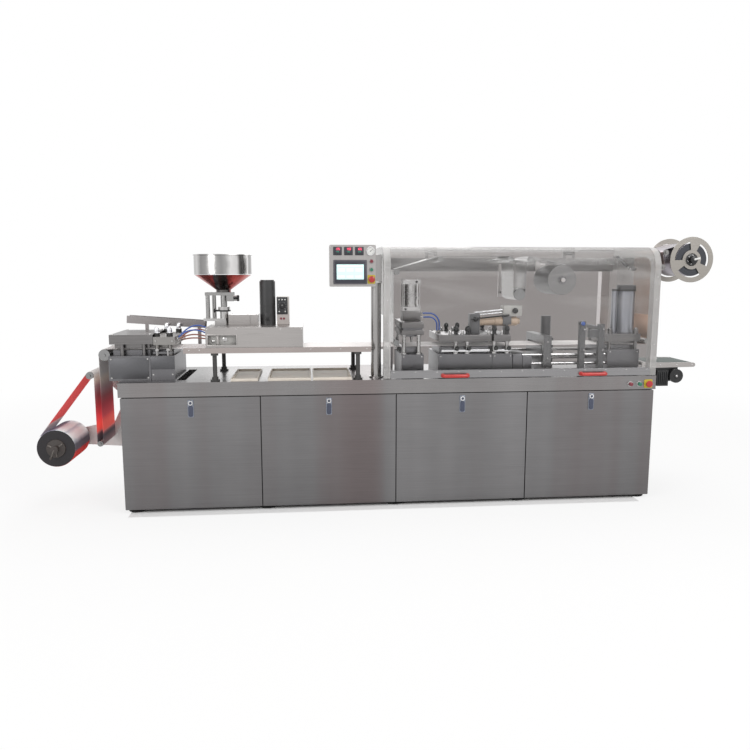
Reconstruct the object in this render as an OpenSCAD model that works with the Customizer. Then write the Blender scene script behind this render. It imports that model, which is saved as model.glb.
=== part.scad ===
// Flat-plate blister packing machine, drawn in millimetres.
// X runs along the machine, the working front looks along -Y, Z is up, floor at Z = 0.

/* [Cabinet] */
// Length of the cabinet over its end panels
cabinet_l = 3300; // [3250:10:3800]
// Depth of the cabinet over its door panels
cabinet_d = 696; // [680:2:800]
// Height of the deck top above the floor
deck_z = 800; // [740:5:900]
// Height of the deck edge band
deck_t = 86; // [60:2:140]
// Overhang of the deck past the end panels
deck_lip = 10; // [2:1:20]
// Thickness of a lift-off door panel
door_t = 20; // [12:1:30]
// Gap around a door panel
door_gap = 6; // [3:0.5:12]
// Height of a levelling pad
pad_h = 15; // [10:1:40]
// Radius of a levelling pad
pad_r = 55; // [35:1:70]
// Width of a door latch
latch_w = 36; // [24:1:50]
// Height of a door latch
latch_h = 106; // [80:1:140]

/* [Film] */
// Outer radius of the film roll
roll_r = 115; // [80:1:150]
// Width of the film roll
roll_w = 290; // [284:1:296]
// Radius of the roll core
core_r = 58; // [40:1:70]
// Radius of the fixed reel shafts
shaft_r = 14; // [10:0.5:18]
// Width of the running web
web_w = 270; // [200:2:270]
// Thickness of the running web
web_t = 1.5; // [1:0.25:2]
// Radius of the first film guide roller
guide_r = 22; // [18:1:30]
// Radius of the film dancer bar
dancer_r = 17; // [12:1:22]
// Radius of the forming entry roller
entry_r = 34; // [20:1:36]

/* [Forming station] */
// Length of the heating block
heat_l = 247; // [200:1:300]
// Length of the forming block
form_l = 140; // [130:1:180]
// Depth of the forming station
form_d = 400; // [390:2:420]
// Thickness of the upper heating plate
heat_t = 57; // [30:1:70]
// Thickness of the upper forming plate
form_t = 48; // [30:1:60]
// Length of the inclined product trough
trough_l = 500; // [420:5:520]
// Height of the trough side wall
trough_h = 48; // [30:1:60]

/* [Guide table and feeder] */
// Length of the wide part of the guide table
table_l = 1122; // [1090:1:1200]
// Depth of the guide table
table_d = 535; // [520:5:560]
// Thickness of the guide table
table_t = 7; // [5:0.5:10]
// Height of the table top above the deck
table_h = 177; // [165:1:190]
// Height of the front rim above the table top
rim_h = 26; // [10:1:40]
// Length of the feeder housing
feeder_l = 577; // [570:1:640]
// Depth of the feeder housing
feeder_d = 500; // [440:2:510]
// Height of the feeder housing
feeder_h = 146; // [120:1:180]
// Wall of the feeder housing
feeder_wall = 4; // [2:0.5:6]
// Radius of the feeder motor
motor_r = 49; // [36:1:50]
// Height of the feeder motor
motor_h = 278; // [220:2:320]
// Radius of the hopper bowl
bowl_r = 176; // [140:2:220]
// Height of the hopper bowl cylinder
bowl_h = 123; // [80:1:180]
// Height of the hopper cone
cone_h = 95; // [70:1:140]
// Wall of the hopper
bowl_wall = 3; // [2:0.5:5]
// Radius of the hopper throat
throat_r = 20; // [16:0.5:22]
// Height of the hopper throat tube
throat_h = 105; // [90:1:120]
// Height of the hopper throat foot above the feeder
throat_z = 112; // [100:1:140]

/* [Control panel] */
// Width of the control panel box
panel_w = 276; // [270:1:320]
// Height of the control panel box
panel_h = 246; // [240:1:300]
// Depth of the control panel box
panel_d = 79; // [60:1:80]
// Height of the panel top above the deck
panel_top = 810; // [760:5:860]
// Radius of the round control post
post_r = 31; // [22:1:33]

/* [Stations under the hood] */
// Distance of the web line in front of the deck middle
line_in = 50; // [40:1:56]
// Length of the sealing station
seal_l = 141; // [130:1:180]
// Depth of the stations under the hood
station_d = 360; // [350:2:380]
// Height of the station base blocks
base_h = 138; // [100:1:150]
// Radius of the sealing cylinder
seal_r = 46; // [36:1:50]
// Height of the sealing cylinder
seal_h = 195; // [150:1:230]
// Length of the embossing station
emboss_l = 477; // [460:2:520]
// Length of the punching station
punch_l = 211; // [190:1:230]
// Radius of the punching cylinder
punch_r = 58; // [44:1:62]
// Height of the punching cylinder
punch_h = 308; // [220:2:330]
// Radius of the station columns
column_r = 12; // [8:0.5:13]

/* [Lidding foil] */
// Outer radius of the lidding foil roll
foil_r = 93; // [60:1:100]
// Radius of the foil guide rollers
foil_guide_r = 18; // [12:0.5:20]
// Radius of the foil dancer roller
foil_dancer_r = 36; // [26:1:40]
// Section of the rear posts and the rear beam
beam_d = 60; // [40:2:64]
// Height of the rear beam
beam_h = 90; // [70:2:110]

/* [Waste reel and outfeed] */
// Radius of a waste reel flange
flange_r = 145; // [120:1:160]
// Radius of the wound waste web
waste_r = 105; // [70:1:112]
// Thickness of a waste reel flange
flange_t = 4; // [3:0.5:6]
// Length of the outfeed conveyor
outfeed_l = 368; // [350:2:420]
// Height of the outfeed side plates
outfeed_h = 38; // [34:1:48]
// Radius of the outfeed hand wheel
wheel_r = 45; // [36:1:48]

/* [Hood] */
// Height of the hood top above the deck
hood_h = 805; // [800:1:860]
// Radius of the bend along the hood front edge
hood_r = 130; // [100:2:160]
// Thickness of the clear hood sheet
hood_t = 6; // [4:0.5:8]
// Width of a hood end frame along the machine
frame_w = 40; // [30:1:44]
// Depth of a hood end frame section
frame_d = 60; // [40:1:70]
// Height of the hood bottom rail
rail_h = 48; // [40:1:100]
// Width of a hood handle
handle_w = 176; // [150:2:220]
// Reach of a hood handle off the rail
handle_out = 42; // [34:1:52]
// Radius of the gas strut tube
strut_r = 9; // [7:0.5:11]

/* [Fits] */
// Clearance of moving pieces from fixed pieces
move_gap = 5; // [5:0.5:8]
// Radial clearance of a piece turning on a pin
pin_fit = 0.1; // [0.05:0.01:0.1]
// Gap between curved faces of neighbouring pieces
curve_gap = 0.3; // [0.2:0.05:0.5]

/* [Hidden] */
$fn = 48;
eps = 0.01;

// Cabinet planes
xl = -cabinet_l / 2;
xr = cabinet_l / 2;
yf = -cabinet_d / 2;
yb = cabinet_d / 2;
body_z = deck_z - deck_t;
panel_t = 10;
deck_y = cabinet_d / 2 + 4;

// The web line lies a little in front of the deck middle
line_y = -line_in;

// Running web level over the guide table
table_z = deck_z + table_h;
rail_t = 7;
web_z = table_z + rail_t + curve_gap + web_t / 2 + 1;
web_y = web_w / 2;
web_lo = web_z - web_t / 2;
web_hi = web_z + web_t / 2;
die_z = web_lo - 6;
head_lo = web_hi + 6;
base_z = deck_z + base_h;
col_y = web_y + 9 + column_r;

// Places along the machine, left to right
form_x0 = xl - 80;
form_xm = form_x0 + heat_l;
form_x1 = form_xm + 2 + form_l;
table_x0 = form_x1 + 67;
table_x1 = table_x0 + table_l;
table_y0 = -deck_y + 17;
table_y1 = table_y0 + table_d;
leg_at = [table_x0 + 180, table_x1 - 81];
leg_foot_r = 28;
leg_bay = leg_at[1] - leg_at[0];
feeder_x0 = table_x0 + 131;
feeder_x1 = feeder_x0 + feeder_l;
feeder_y0 = table_y0 + 10;
feeder_z = table_z + feeder_h;
collar_z = feeder_z + throat_z + throat_h;
hop_x = feeder_x0 + 85;
hop_y = line_y - 10;
mast_x = table_x1 + 7 + post_r;
mast_y = line_y - web_y - 19 - post_r;
mast_a = post_r + 1;
panel_x0 = mast_x - mast_a + 20 - panel_w;
panel_y0 = mast_y - mast_a - panel_d;
hood_x0 = mast_x + mast_a + 6;
hood_x1 = xr + 6;
seal_x0 = hood_x0 + 123;
seal_x1 = seal_x0 + seal_l;
emboss_x0 = seal_x1 + 93;
emboss_x1 = emboss_x0 + emboss_l;
emboss_xm = emboss_x0 + 347;
punch_x1 = xr - 53;
punch_x0 = punch_x1 - punch_l;
bay = punch_x0 - emboss_x1;
grip_x = emboss_x1 + 0.322 * bay;
servo_x = emboss_x1 + 0.56 * bay;
mark_x = emboss_x1 + 0.686 * bay;
reg_x = emboss_x1 + 0.885 * bay;
bay_rod_r = 10;
bay_rod_z = [deck_z + 69, deck_z + 125];

// Film path at the left end
film_s = web_t / 2 + curve_gap;
loop_x = form_x0 - 73;
entry_c = [loop_x + entry_r + film_s, web_z - entry_r - film_s];
dancer_c = [loop_x - dancer_r - film_s, deck_z - 400];
guide_c = [loop_x - 2 * dancer_r - 2 * film_s - guide_r - film_s, deck_z + 26];
roll_c = [xl - 435, deck_z - 423];
stand_y = roll_w / 2 + 25;

// Hood section
hood_z0 = deck_z + move_gap;
hood_z1 = deck_z + hood_h;
hood_yf = yf;
hood_yb = 262;
hinge_y = 300;
hinge_z = hood_z1 - 25;
hinge_r = 14;
hinge_pin_r = 8;
hinge_at = [hood_x0 + 376, hood_x1 - 376];
rail_y0 = hood_yf - 2;
handle_at = [hood_x0 + 441, hood_x1 - 413];
handle_t = 26;
handle_z = deck_z + 20;

// Rear frame
beam_y = 250;
beam_z1 = hinge_z - 35;
beam_z0 = beam_z1 - beam_h;
beam_x0 = hood_x0 + frame_w + 6;
beam_x1 = hood_x1 - frame_w - 6;
rpost_at = [beam_x0 + 20, beam_x1 - 80];
beam_ly = beam_y - line_y;

// Gas struts at both hood ends
strut_f = [150, hinge_z - 30];
strut_h = [-40, hinge_z - 110];
strut_d = strut_h - strut_f;
strut_n = norm(strut_d);
strut_a = atan2(strut_d[1], strut_d[0]);
strut_at = [hood_x0 + frame_w + 21, hood_x1 - frame_w - 21];
rod_r = strut_r / 2;

// Lidding foil path, its dancer kept above the marking unit
mark_z0 = head_lo + 66;
mark_z1 = mark_z0 + 181;
fg_z = beam_z1 - 15;
foil_c = [hood_x0 + 1155, fg_z - 130];
fg_a = [hood_x0 + 371, fg_z];
fg_b = [hood_x0 + 815, fg_z];
fg_c = [hood_x0 + 947, fg_z];
fg_d = [(fg_b[0] + fg_c[0]) / 2, mark_z1 + 0.242 * (fg_z - mark_z1)];
fg_s1 = [hood_x0 + 96, fg_z - 79];
fg_s2 = [hood_x0 + 96, web_hi + 2 + foil_guide_r + film_s];

// Waste web path
reel_c = [xr + 285, beam_z1 - 16];
hub_r = 40;
reel_y = web_y + 10;
wg_s = foil_guide_r + film_s;
wg_x = xr + 35;
wg_1 = [wg_x - wg_s, web_z + wg_s];
wg_2 = [wg_x + wg_s, beam_z1 + 25];
wg_3 = [wg_2[0] + 40, beam_z1 - 64];
wg_4 = [wg_2[0] + 58, beam_z1 + 30];

// Air hoses drop on the embossing head
hose_r = 5;
hose_z1 = head_lo + 66;

// Overall extents, used to centre the machine on the origin
x_min = roll_c[0] - roll_r;
x_max = reel_c[0] + flange_r;
y_min = rail_y0 - handle_out;
y_max = deck_y;
shift_x = -(x_min + x_max) / 2;
shift_y = -(y_min + y_max) / 2;

// Helpers
module on_line() {
  translate([0, line_y, 0]) children();
}

module box(x, y, z) {
  translate([x[0], y[0], z[0]]) cube([x[1] - x[0], y[1] - y[0], z[1] - z[0]]);
}

module rod_x(y, z, r, x) {
  translate([x[0], y, z]) rotate([0, 90, 0]) cylinder(r = r, h = x[1] - x[0]);
}

module rod_y(c, r, y) {
  translate([c[0], y[1], c[1]]) rotate([90, 0, 0]) cylinder(r = r, h = y[1] - y[0]);
}

module rod_z(x, y, r, z) {
  translate([x, y, z[0]]) cylinder(r = r, h = z[1] - z[0]);
}

module slab_y(y) {
  translate([0, y[1], 0]) rotate([90, 0, 0]) linear_extrude(y[1] - y[0]) children();
}

module slab_x(x) {
  translate([x[0], 0, 0]) rotate([90, 0, 90]) linear_extrude(x[1] - x[0]) children();
}

module soft_rect(w, h, r) {
  translate([r, 0]) square([w - 2 * r, h]);
  translate([0, r]) square([w, h - 2 * r]);
  for (x = [r, w - r])
    for (y = [r, h - r])
      translate([x, y]) circle(r);
}

// A flat arm between two bosses
module arm2d(p, q, r0, r1) {
  d = q - p;
  n = [-d[1], d[0]] / norm(d);
  translate(p) circle(r0);
  translate(q) circle(r1);
  polygon([p + n * r0, p - n * r0, q - n * r1, q + n * r1]);
}

// Web over rollers: each stop is [x, z, s], s the signed distance of the web from the stop
function leg_a(a, b) =
  atan2(b[1] - a[1], b[0] - a[0]) - asin((a[2] - b[2]) / norm([b[0] - a[0], b[1] - a[1]]));
function leg_p(a, t) = [a[0] - sin(t) * a[2], a[1] + cos(t) * a[2]];

module leg2d(a, b, cut) {
  t = leg_a(a, b);
  p = leg_p(a, t);
  q = leg_p(b, t);
  translate(p) rotate(t) translate([cut, -web_t / 2]) square([norm(q - p) - 2 * cut, web_t]);
}

module bend2d(a, b, c) {
  t0 = leg_a(a, b);
  t1 = leg_a(b, c);
  side = b[2] > 0 ? 90 : -90;
  turn0 = t1 - t0;
  turn = b[2] > 0 ? (turn0 > 0 ? turn0 - 360 : turn0) : (turn0 < 0 ? turn0 + 360 : turn0);
  r = abs(b[2]);
  w = 3 * r;
  translate([b[0], b[1]]) rotate(t0 + side) intersection() {
    difference() {
      circle(r + web_t / 2);
      circle(r - web_t / 2);
    }
    polygon([[0, 0], w * [1, 0], w * [cos(turn / 2), sin(turn / 2)], w * [cos(turn), sin(turn)]]);
  }
}

module web(stops) {
  n = len(stops);
  slab_y([-web_y, web_y]) {
    for (i = [0:n - 2])
      leg2d(stops[i], stops[i + 1], 0.1);
    for (i = [1:n - 2])
      bend2d(stops[i - 1], stops[i], stops[i + 1]);
  }
}

// A domed nut on a collar
module dome_nut(r, h) {
  rotate_extrude()
    polygon([[0, 0], [r * 1.25, 0], [r * 1.25, h * 0.35], [r, h * 0.4], [r, h * 0.65],
             [r * 0.86, h * 0.85], [r * 0.5, h * 0.97], [0, h]]);
}

// Cabinet
module levelling_pads() {
  color([0.12, 0.12, 0.13])
    for (i = [0:4])
      for (y = [yf + 68, yb - 68])
        rod_z(xl + 60 + i * (cabinet_l - 120) / 4, y, pad_r, [0, pad_h]);
}

module cabinet_body() {
  color([0.45, 0.45, 0.46])
    box([xl + panel_t, xr - panel_t], [yf + door_t, yb - door_t], [pad_h, body_z]);
}

module cabinet_panels() {
  w = (cabinet_l - 3 * door_gap) / 4;
  color([0.66, 0.64, 0.62]) {
    for (i = [0:3])
      for (y = [yf, yb - door_t])
        translate([xl + i * (w + door_gap), 0, pad_h + door_gap])
          slab_y([y, y + door_t]) soft_rect(w, body_z - pad_h - 2 * door_gap, 4);
    for (x = [xl, xr - panel_t])
      box([x, x + panel_t], [yf + door_t + 2, yb - door_t - 2], [pad_h + door_gap, body_z - door_gap]);
  }
}

module door_latches() {
  w = (cabinet_l - 3 * door_gap) / 4;
  color([0.55, 0.6, 0.68])
    for (i = [0:3])
      for (s = [0, 1])
        translate([xl + i * (w + door_gap) + w / 2, 0, body_z - 20 - latch_h])
          rotate([0, 0, 180 * s]) {
            translate([-latch_w / 2, 0, 0]) slab_y([yf - 5, yf]) soft_rect(latch_w, latch_h, 6);
            rod_y([0, latch_h - latch_w / 2], latch_w / 2 - 3, [yf - 12, yf - 4]);
            box([4 - latch_w / 2, latch_w / 2 - 4], [yf - 9, yf - 4], [6, latch_h - latch_w - 4]);
          }
}

module deck_table() {
  color([0.7, 0.68, 0.66])
    difference() {
      box([xl - deck_lip, xr + deck_lip], [-deck_y, deck_y], [body_z, deck_z]);
      box([form_x1 + 8, table_x0 - 6], [-260, 220], [deck_z - deck_t * 0.7, deck_z + 1]);
    }
}

module run_buttons() {
  color([0.6, 0.1, 0.1])
    for (i = [0:2])
      translate([xr - 159 + i * 59, 0, deck_z - 0.58 * deck_t]) {
        rod_y([0, 0], 18, [-deck_y - 4, -deck_y]);
        rod_y([0, 0], i == 2 ? 21 : 13, [-deck_y - 24, -deck_y - (i == 2 ? 14 : 4)]);
        rod_y([0, 0], 11, [-deck_y - 15, -deck_y - 4]);
      }
}

// Film unwinding
module film_stand() {
  y0 = stand_y;
  color([0.5, 0.5, 0.52]) on_line() {
    slab_y([y0, y0 + 22]) arm2d(roll_c, [xl - 110, roll_c[1] + 20], 45, 90);
    box([xl - 112, xl - 12], [y0, y0 + 22], [roll_c[1] - 60, roll_c[1] + 100]);
    box([xl - 12, xl], [y0 - 60, y0 + 82], [roll_c[1] - 110, roll_c[1] + 150]);
    rod_y(roll_c, shaft_r, [-roll_w / 2 - 40, y0]);
    rod_y(roll_c, shaft_r + 8, [-roll_w / 2 - 40, -roll_w / 2 - 25]);
    slab_y([y0, y0 + 16])
      polygon([[xl - 12, body_z - 160], [xl - 12, body_z - 12], [form_x0 - 12, deck_z - 30],
               [form_x0 - 12, entry_c[1] + 30], [entry_c[0] - 40, entry_c[1] + 30],
               [guide_c[0] - 30, guide_c[1] + 35], [guide_c[0] - 30, guide_c[1] - 35]]);
    box([xl - 12, xl], [y0 - 40, y0 + 60], [body_z - 170, body_z - 12]);
    slab_y([y0 - 16, y0 + eps]) arm2d(dancer_c, [xl - 60, body_z - 90], 20, 26);
  }
}

module film_rollers() {
  color([0.8, 0.8, 0.82]) on_line() {
    for (c = [[guide_c, guide_r], [entry_c, entry_r]]) {
      rod_y(c[0], c[1], [-web_y - 10, web_y + 8]);
      rod_y(c[0], 8, [-web_y - 18, stand_y]);
    }
    rod_y(dancer_c, dancer_r, [-web_y - 10, web_y + 4]);
    rod_y(dancer_c, 8, [-web_y - 18, stand_y - 16]);
  }
}

module film_web() {
  color([0.78, 0.3, 0.28]) on_line()
    web([[roll_c[0], roll_c[1], roll_r + move_gap + web_t / 2],
         [guide_c[0], guide_c[1], guide_r + film_s],
         [dancer_c[0], dancer_c[1], -dancer_r - film_s],
         [entry_c[0], entry_c[1], entry_r + film_s],
         [punch_x1 + 5, web_z, 0]]);
}

module film_roll() {
  color([0.7, 0.25, 0.24]) on_line() {
    difference() {
      rod_y(roll_c, roll_r, [-roll_w / 2, roll_w / 2]);
      rod_y(roll_c, core_r + curve_gap, [-roll_w, roll_w]);
    }
    difference() {
      rod_y(roll_c, core_r, [-roll_w / 2 - 12, roll_w / 2 + 12]);
      rod_y(roll_c, shaft_r + pin_fit, [-roll_w, roll_w]);
    }
  }
}

// Station bases share one form: a block on the deck and a die under the web
module station_base(x0, x1, d, top) {
  box([x0, x1], [-d / 2, d / 2], [deck_z, top]);
  box([x0 + 14, x1 - 14], [-web_y + 4, web_y - 4], [top - eps, die_z]);
}

module station_bases() {
  color([0.62, 0.61, 0.6]) on_line() {
    station_base(form_x0, form_xm, form_d, base_z + 12);
    station_base(form_xm + 2, form_x1, form_d, base_z + 12);
    station_base(seal_x0, seal_x1, station_d, base_z);
    station_base(emboss_x0, emboss_xm - 1, station_d, base_z);
    station_base(emboss_xm + 1, emboss_x1, station_d, base_z);
    station_base(punch_x0, punch_x1, station_d, base_z + 18);
  }
}

module columns(xs, y, r, z) {
  for (x = xs)
    for (s = [-1, 1])
      rod_z(x, s * y, r, z);
}

module heater_plate() {
  z0 = head_lo + 27;
  color([0.6, 0.59, 0.58]) on_line() {
    box([form_x0 + 7, form_xm + 16], [-form_d / 2 + 10, form_d / 2], [z0, z0 + heat_t]);
    box([form_x0 + 24, form_xm - 16], [-web_y, web_y], [head_lo, z0 + eps]);
    columns([form_x0 + 74, form_xm - 44], col_y, column_r, [base_z + 12, z0 + eps]);
  }
}

module forming_head() {
  z0 = head_lo + 22;
  xs = [form_xm + 35, form_x1 - 31];
  color([0.6, 0.6, 0.62]) on_line() {
    box([form_xm + 18, form_x1 + 4], [-form_d / 2 + 10, form_d / 2 - 10], [z0, z0 + form_t]);
    box([form_xm + 30, form_x1 - 24], [-web_y + 10, web_y - 10], [head_lo, z0 + eps]);
    columns(xs, col_y, column_r, [base_z + 12, z0 + eps]);
    for (x = xs)
      for (s = [-1, 1])
        translate([x, s * col_y, z0 + form_t - eps]) dome_nut(15, 62);
  }
}

module product_trough() {
  y0 = col_y + 25;
  tilt = 4.2;
  zt = head_lo + heat_t + 97;
  x0 = form_x0 + 25;
  foot_x = trough_l - 40;
  color([0.66, 0.58, 0.56]) on_line()
    difference() {
      union() {
        translate([x0, 0, zt]) rotate([0, tilt, 0])
          box([0, trough_l], [y0, y0 + 80], [-trough_h / 2, trough_h / 2]);
        box([x0 + 115, x0 + 135], [form_d / 2 - 18, y0 + 20], [head_lo + 27 + heat_t, zt - 12]);
        box([x0 + foot_x - 10, x0 + foot_x + 10], [y0, y0 + 30], [table_z, zt - 35]);
      }
      translate([x0, 0, zt]) rotate([0, tilt, 0])
        box([-5, trough_l + 5], [y0 + 4, y0 + 76], [4 - trough_h / 2, trough_h]);
    }
}

// Guide table and feeder
module guide_table() {
  z0 = table_z - table_t;
  color([0.78, 0.77, 0.76]) {
    box([table_x0, table_x1], [table_y0, table_y1], [z0, table_z]);
    box([table_x0, table_x1], [table_y0, table_y0 + 6], [z0, table_z + rim_h]);
    on_line() {
      box([table_x1 - eps, hood_x0 + 60], [-web_y - 10, web_y + 10], [z0, table_z]);
      for (s = [-1, 1])
        box([table_x0, hood_x0 + 60], [s * (web_y - 14) - 6, s * (web_y - 14) + 6],
            [table_z - eps, table_z + rail_t]);
    }
  }
}

module table_legs() {
  z1 = table_z - table_t;
  color([0.15, 0.15, 0.16])
    for (x = leg_at)
      for (y = [table_y0 + 23, table_y1 - 50]) {
        rod_z(x, y, 13, [deck_z, z1]);
        rod_z(x, y, leg_foot_r, [deck_z, deck_z + 10]);
        rod_z(x, y, 19, [deck_z + 9, deck_z + 26]);
        rod_z(x, y, 22, [z1 - 14, z1]);
      }
}

module deck_trays() {
  lip = 8;
  y = [yf + 10, 100];
  color([0.84, 0.8, 0.72])
    for (t = [[0.108, 0.296], [0.365, 0.667], [0.681, 0.955]]) {
      x = leg_at[0] * [1, 1] + leg_bay * t;
      difference() {
        box(x, y, [deck_z, deck_z + 16]);
        box(x + [lip, -lip], y + [lip, -lip], [deck_z + 4, deck_z + 20]);
      }
    }
}

module feeder_housing() {
  y1 = feeder_y0 + feeder_d;
  w = feeder_wall;
  color([0.7, 0.69, 0.68])
    difference() {
      box([feeder_x0, feeder_x1], [feeder_y0, y1], [table_z, feeder_z]);
      box([feeder_x0 + w, feeder_x1 - w], [feeder_y0 + w, y1 - w], [table_z - 1, feeder_z - w]);
      on_line()
        box([feeder_x0 - 1, feeder_x1 + 1], [-web_y - 8, web_y + 8], [table_z - 1, table_z + 36]);
      box([feeder_x0 + 15, feeder_x0 + 180], [feeder_y0 - 1, feeder_y0 + 25], [table_z + 43, table_z + 99]);
      box([feeder_x0 + 238, feeder_x0 + 343], [feeder_y0 - 1, feeder_y0 + 2],
          [table_z + 106, table_z + 110]);
      rod_z(hop_x, hop_y, throat_r - bowl_wall, [feeder_z - 20, feeder_z + 1]);
    }
}

module feeder_motor() {
  z0 = feeder_z;
  x = feeder_x0 + 357;
  color([0.06, 0.06, 0.07]) {
    rod_z(x, hop_y, motor_r, [z0, z0 + 0.41 * motor_h]);
    rod_z(x, hop_y, motor_r - 2, [z0, z0 + 0.43 * motor_h]);
    rod_z(x, hop_y, motor_r, [z0 + 0.42 * motor_h, z0 + motor_h - 8]);
    rod_z(x, hop_y, motor_r - 6, [z0 + motor_h - 9, z0 + motor_h]);
  }
}

module feeder_control() {
  x0 = feeder_x0 + 415;
  color([0.82, 0.82, 0.8]) {
    box([x0, x0 + 77], [hop_y - 45, hop_y + 45], [feeder_z, feeder_z + 175]);
    for (i = [0:1])
      rod_y([x0 + 24 + i * 29, feeder_z + 146], 9, [hop_y - 57, hop_y - 44]);
    rod_y([x0 + 38, feeder_z + 104], 14, [hop_y - 63, hop_y - 44]);
  }
}

module feeder_gearbox() {
  x0 = hop_x + throat_r + 13;
  color([0.66, 0.66, 0.66])
    difference() {
      box([x0, x0 + 182], [hop_y - 75, hop_y + 95], [feeder_z, feeder_z + 64]);
      box([x0 + 132, x0 + 140], [hop_y - 80, hop_y - 67], [feeder_z - 1, feeder_z + 70]);
    }
}

module hopper() {
  w = bowl_wall;
  zb = collar_z + cone_h + 2;
  zt = zb + bowl_h - 2;
  color([0.8, 0.8, 0.82])
    translate([hop_x, hop_y, 0]) rotate_extrude()
      polygon([[bowl_r - w, zb], [bowl_r, zb], [bowl_r, zt - 8], [bowl_r + 5, zt - 6], [bowl_r + 5, zt],
               [bowl_r - w, zt]]);
}

module hopper_cone() {
  w = bowl_wall;
  zk = collar_z - 15;
  zb = collar_z + cone_h;
  rk = throat_r + 25;
  color([0.8, 0.8, 0.82])
    translate([hop_x, hop_y, 0]) rotate_extrude()
      polygon([[throat_r - w, zk], [rk, zk], [rk, collar_z], [bowl_r, zb], [bowl_r, zb + 2],
               [bowl_r - w, zb + 2], [rk - w, collar_z + 4], [throat_r - w, zk + 4]]);
}

module hopper_throat() {
  z0 = feeder_z + throat_z;
  color([0.8, 0.8, 0.82])
    translate([hop_x, hop_y, 0]) rotate_extrude()
      polygon([[throat_r - bowl_wall, z0], [throat_r, z0], [throat_r, collar_z - 15],
               [throat_r - bowl_wall, collar_z - 15]]);
}

module hopper_stand() {
  z0 = feeder_z;
  color([0.72, 0.72, 0.74])
    difference() {
      union() {
        box([hop_x - 57, hop_x + 14], [hop_y - 30, hop_y + 30], [z0, z0 + 26]);
        box([hop_x - 123, hop_x + 14], [hop_y - 48, hop_y + 48], [z0 + 25, z0 + 41]);
        rod_z(hop_x, hop_y, throat_r + 6, [z0, z0 + throat_z - 29]);
        rod_z(hop_x, hop_y, throat_r + 17, [z0 + throat_z - 30, z0 + throat_z]);
      }
      rod_z(hop_x, hop_y, throat_r - bowl_wall, [z0 - 1, z0 + throat_z + 1]);
    }
}

// Two posts and bars that carry the hopper collar on both sides of the throat
module hopper_yoke() {
  z1 = collar_z - 15;
  b = throat_r + 1;
  color([0.75, 0.75, 0.77]) {
    for (s = [-1, 1]) {
      y0 = hop_y + (s < 0 ? -b - 15 : b);
      box([hop_x - 112, hop_x + 64], [y0, y0 + 15], [z1 - 19, z1]);
      rod_z(hop_x - 80 + s * 16, y0 + 7.5, 13, [feeder_z + 41, z1 - 19 + eps]);
    }
    box([hop_x + 22, hop_x + 64], [hop_y - b - 24, hop_y - b], [z1 - 55, z1 - 19 + eps]);
    for (i = [0, 1])
      rod_x(hop_y - b - 12, z1 - 45 + i * 18, 7, [hop_x + 63, hop_x + 86]);
  }
}

// Control panel
module control_post() {
  z1 = deck_z + panel_top - 54;
  color([0.6, 0.6, 0.62]) {
    rod_z(mast_x, mast_y, post_r, [deck_z, z1]);
    rod_z(mast_x, mast_y, post_r + 1, [deck_z, deck_z + 90]);
    box([mast_x - mast_a, mast_x + mast_a], [mast_y - mast_a, mast_y + mast_a], [z1 - 172, z1]);
  }
}

module control_panel() {
  color([0.8, 0.8, 0.8])
    translate([panel_x0, 0, deck_z + panel_top - panel_h])
      slab_y([panel_y0, panel_y0 + panel_d]) soft_rect(panel_w, panel_h, 6);
}

module panel_screen() {
  color([0.14, 0.15, 0.18])
    translate([panel_x0 + 22, 0, deck_z + panel_top - 232])
      slab_y([panel_y0 - 7, panel_y0]) soft_rect(201, 144, 6);
}

module panel_instruments() {
  x0 = panel_x0;
  y0 = panel_y0;
  zt = deck_z + panel_top;
  color([0.1, 0.1, 0.1]) {
    for (i = [0:2])
      box([x0 + 22 + i * 65, x0 + 73 + i * 65], [y0 - 8, y0], [zt - 61, zt - 12]);
    rod_y([x0 + 244, zt - 37], 27, [y0 - 10, y0]);
    for (i = [0:1])
      rod_y([x0 + 250, zt - 96 - i * 50], 14, [y0 - 12, y0]);
    rod_y([x0 + 250, zt - 203], 20, [y0 - 28, y0 - 12]);
    rod_y([x0 + 250, zt - 203], 12, [y0 - 13, y0]);
  }
}

// Stations under the hood
module sealing_head() {
  z0 = head_lo + 68;
  color([0.62, 0.62, 0.63]) on_line() {
    box([seal_x0, seal_x1], [-station_d / 2, station_d / 2], [z0, z0 + 80]);
    box([seal_x0 + 23, seal_x1 - 3], [-70, 70], [z0 + 80 - eps, z0 + 144]);
    box([seal_x0 + 14, seal_x1 - 14], [-web_y + 2, web_y - 2], [head_lo, z0 + eps]);
    columns([seal_x0 + 18, seal_x1 - 30], col_y, column_r, [base_z, z0 + eps]);
  }
}

module sealing_cylinder() {
  z0 = head_lo + 68 + 144;
  x = (seal_x0 + 23 + seal_x1 - 3) / 2;
  a = seal_r + 11;
  color([0.74, 0.74, 0.76]) on_line() {
    box([x - a, x + a], [-a, a], [z0, z0 + 26]);
    rod_z(x, 0, seal_r, [z0 + 25, z0 + seal_h - 25]);
    box([x - a, x + a], [-a, a], [z0 + seal_h - 26, z0 + seal_h]);
    for (i = [-1, 1])
      for (j = [-1, 1])
        rod_z(x + i * (a - 8), j * (a - 8), 5, [z0 + 25, z0 + seal_h + 8]);
  }
}

module emboss_head() {
  z0 = head_lo + 15;
  xs = [emboss_x0 + 114, emboss_x0 + 189, emboss_xm + 15, emboss_x1 - 31];
  color([0.62, 0.62, 0.64]) on_line() {
    box([emboss_x0 + 2, emboss_x1 - 13], [-station_d / 2, station_d / 2], [z0, z0 + 51]);
    box([emboss_x0 + 40, emboss_x1 - 24], [-web_y + 2, web_y - 2], [head_lo, z0 + eps]);
    columns(xs, col_y, column_r, [base_z, z0 + eps]);
    for (x = xs)
      for (s = [-1, 1])
        translate([x, s * col_y, z0 + 51 - eps]) dome_nut(14, 56);
  }
}

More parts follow.
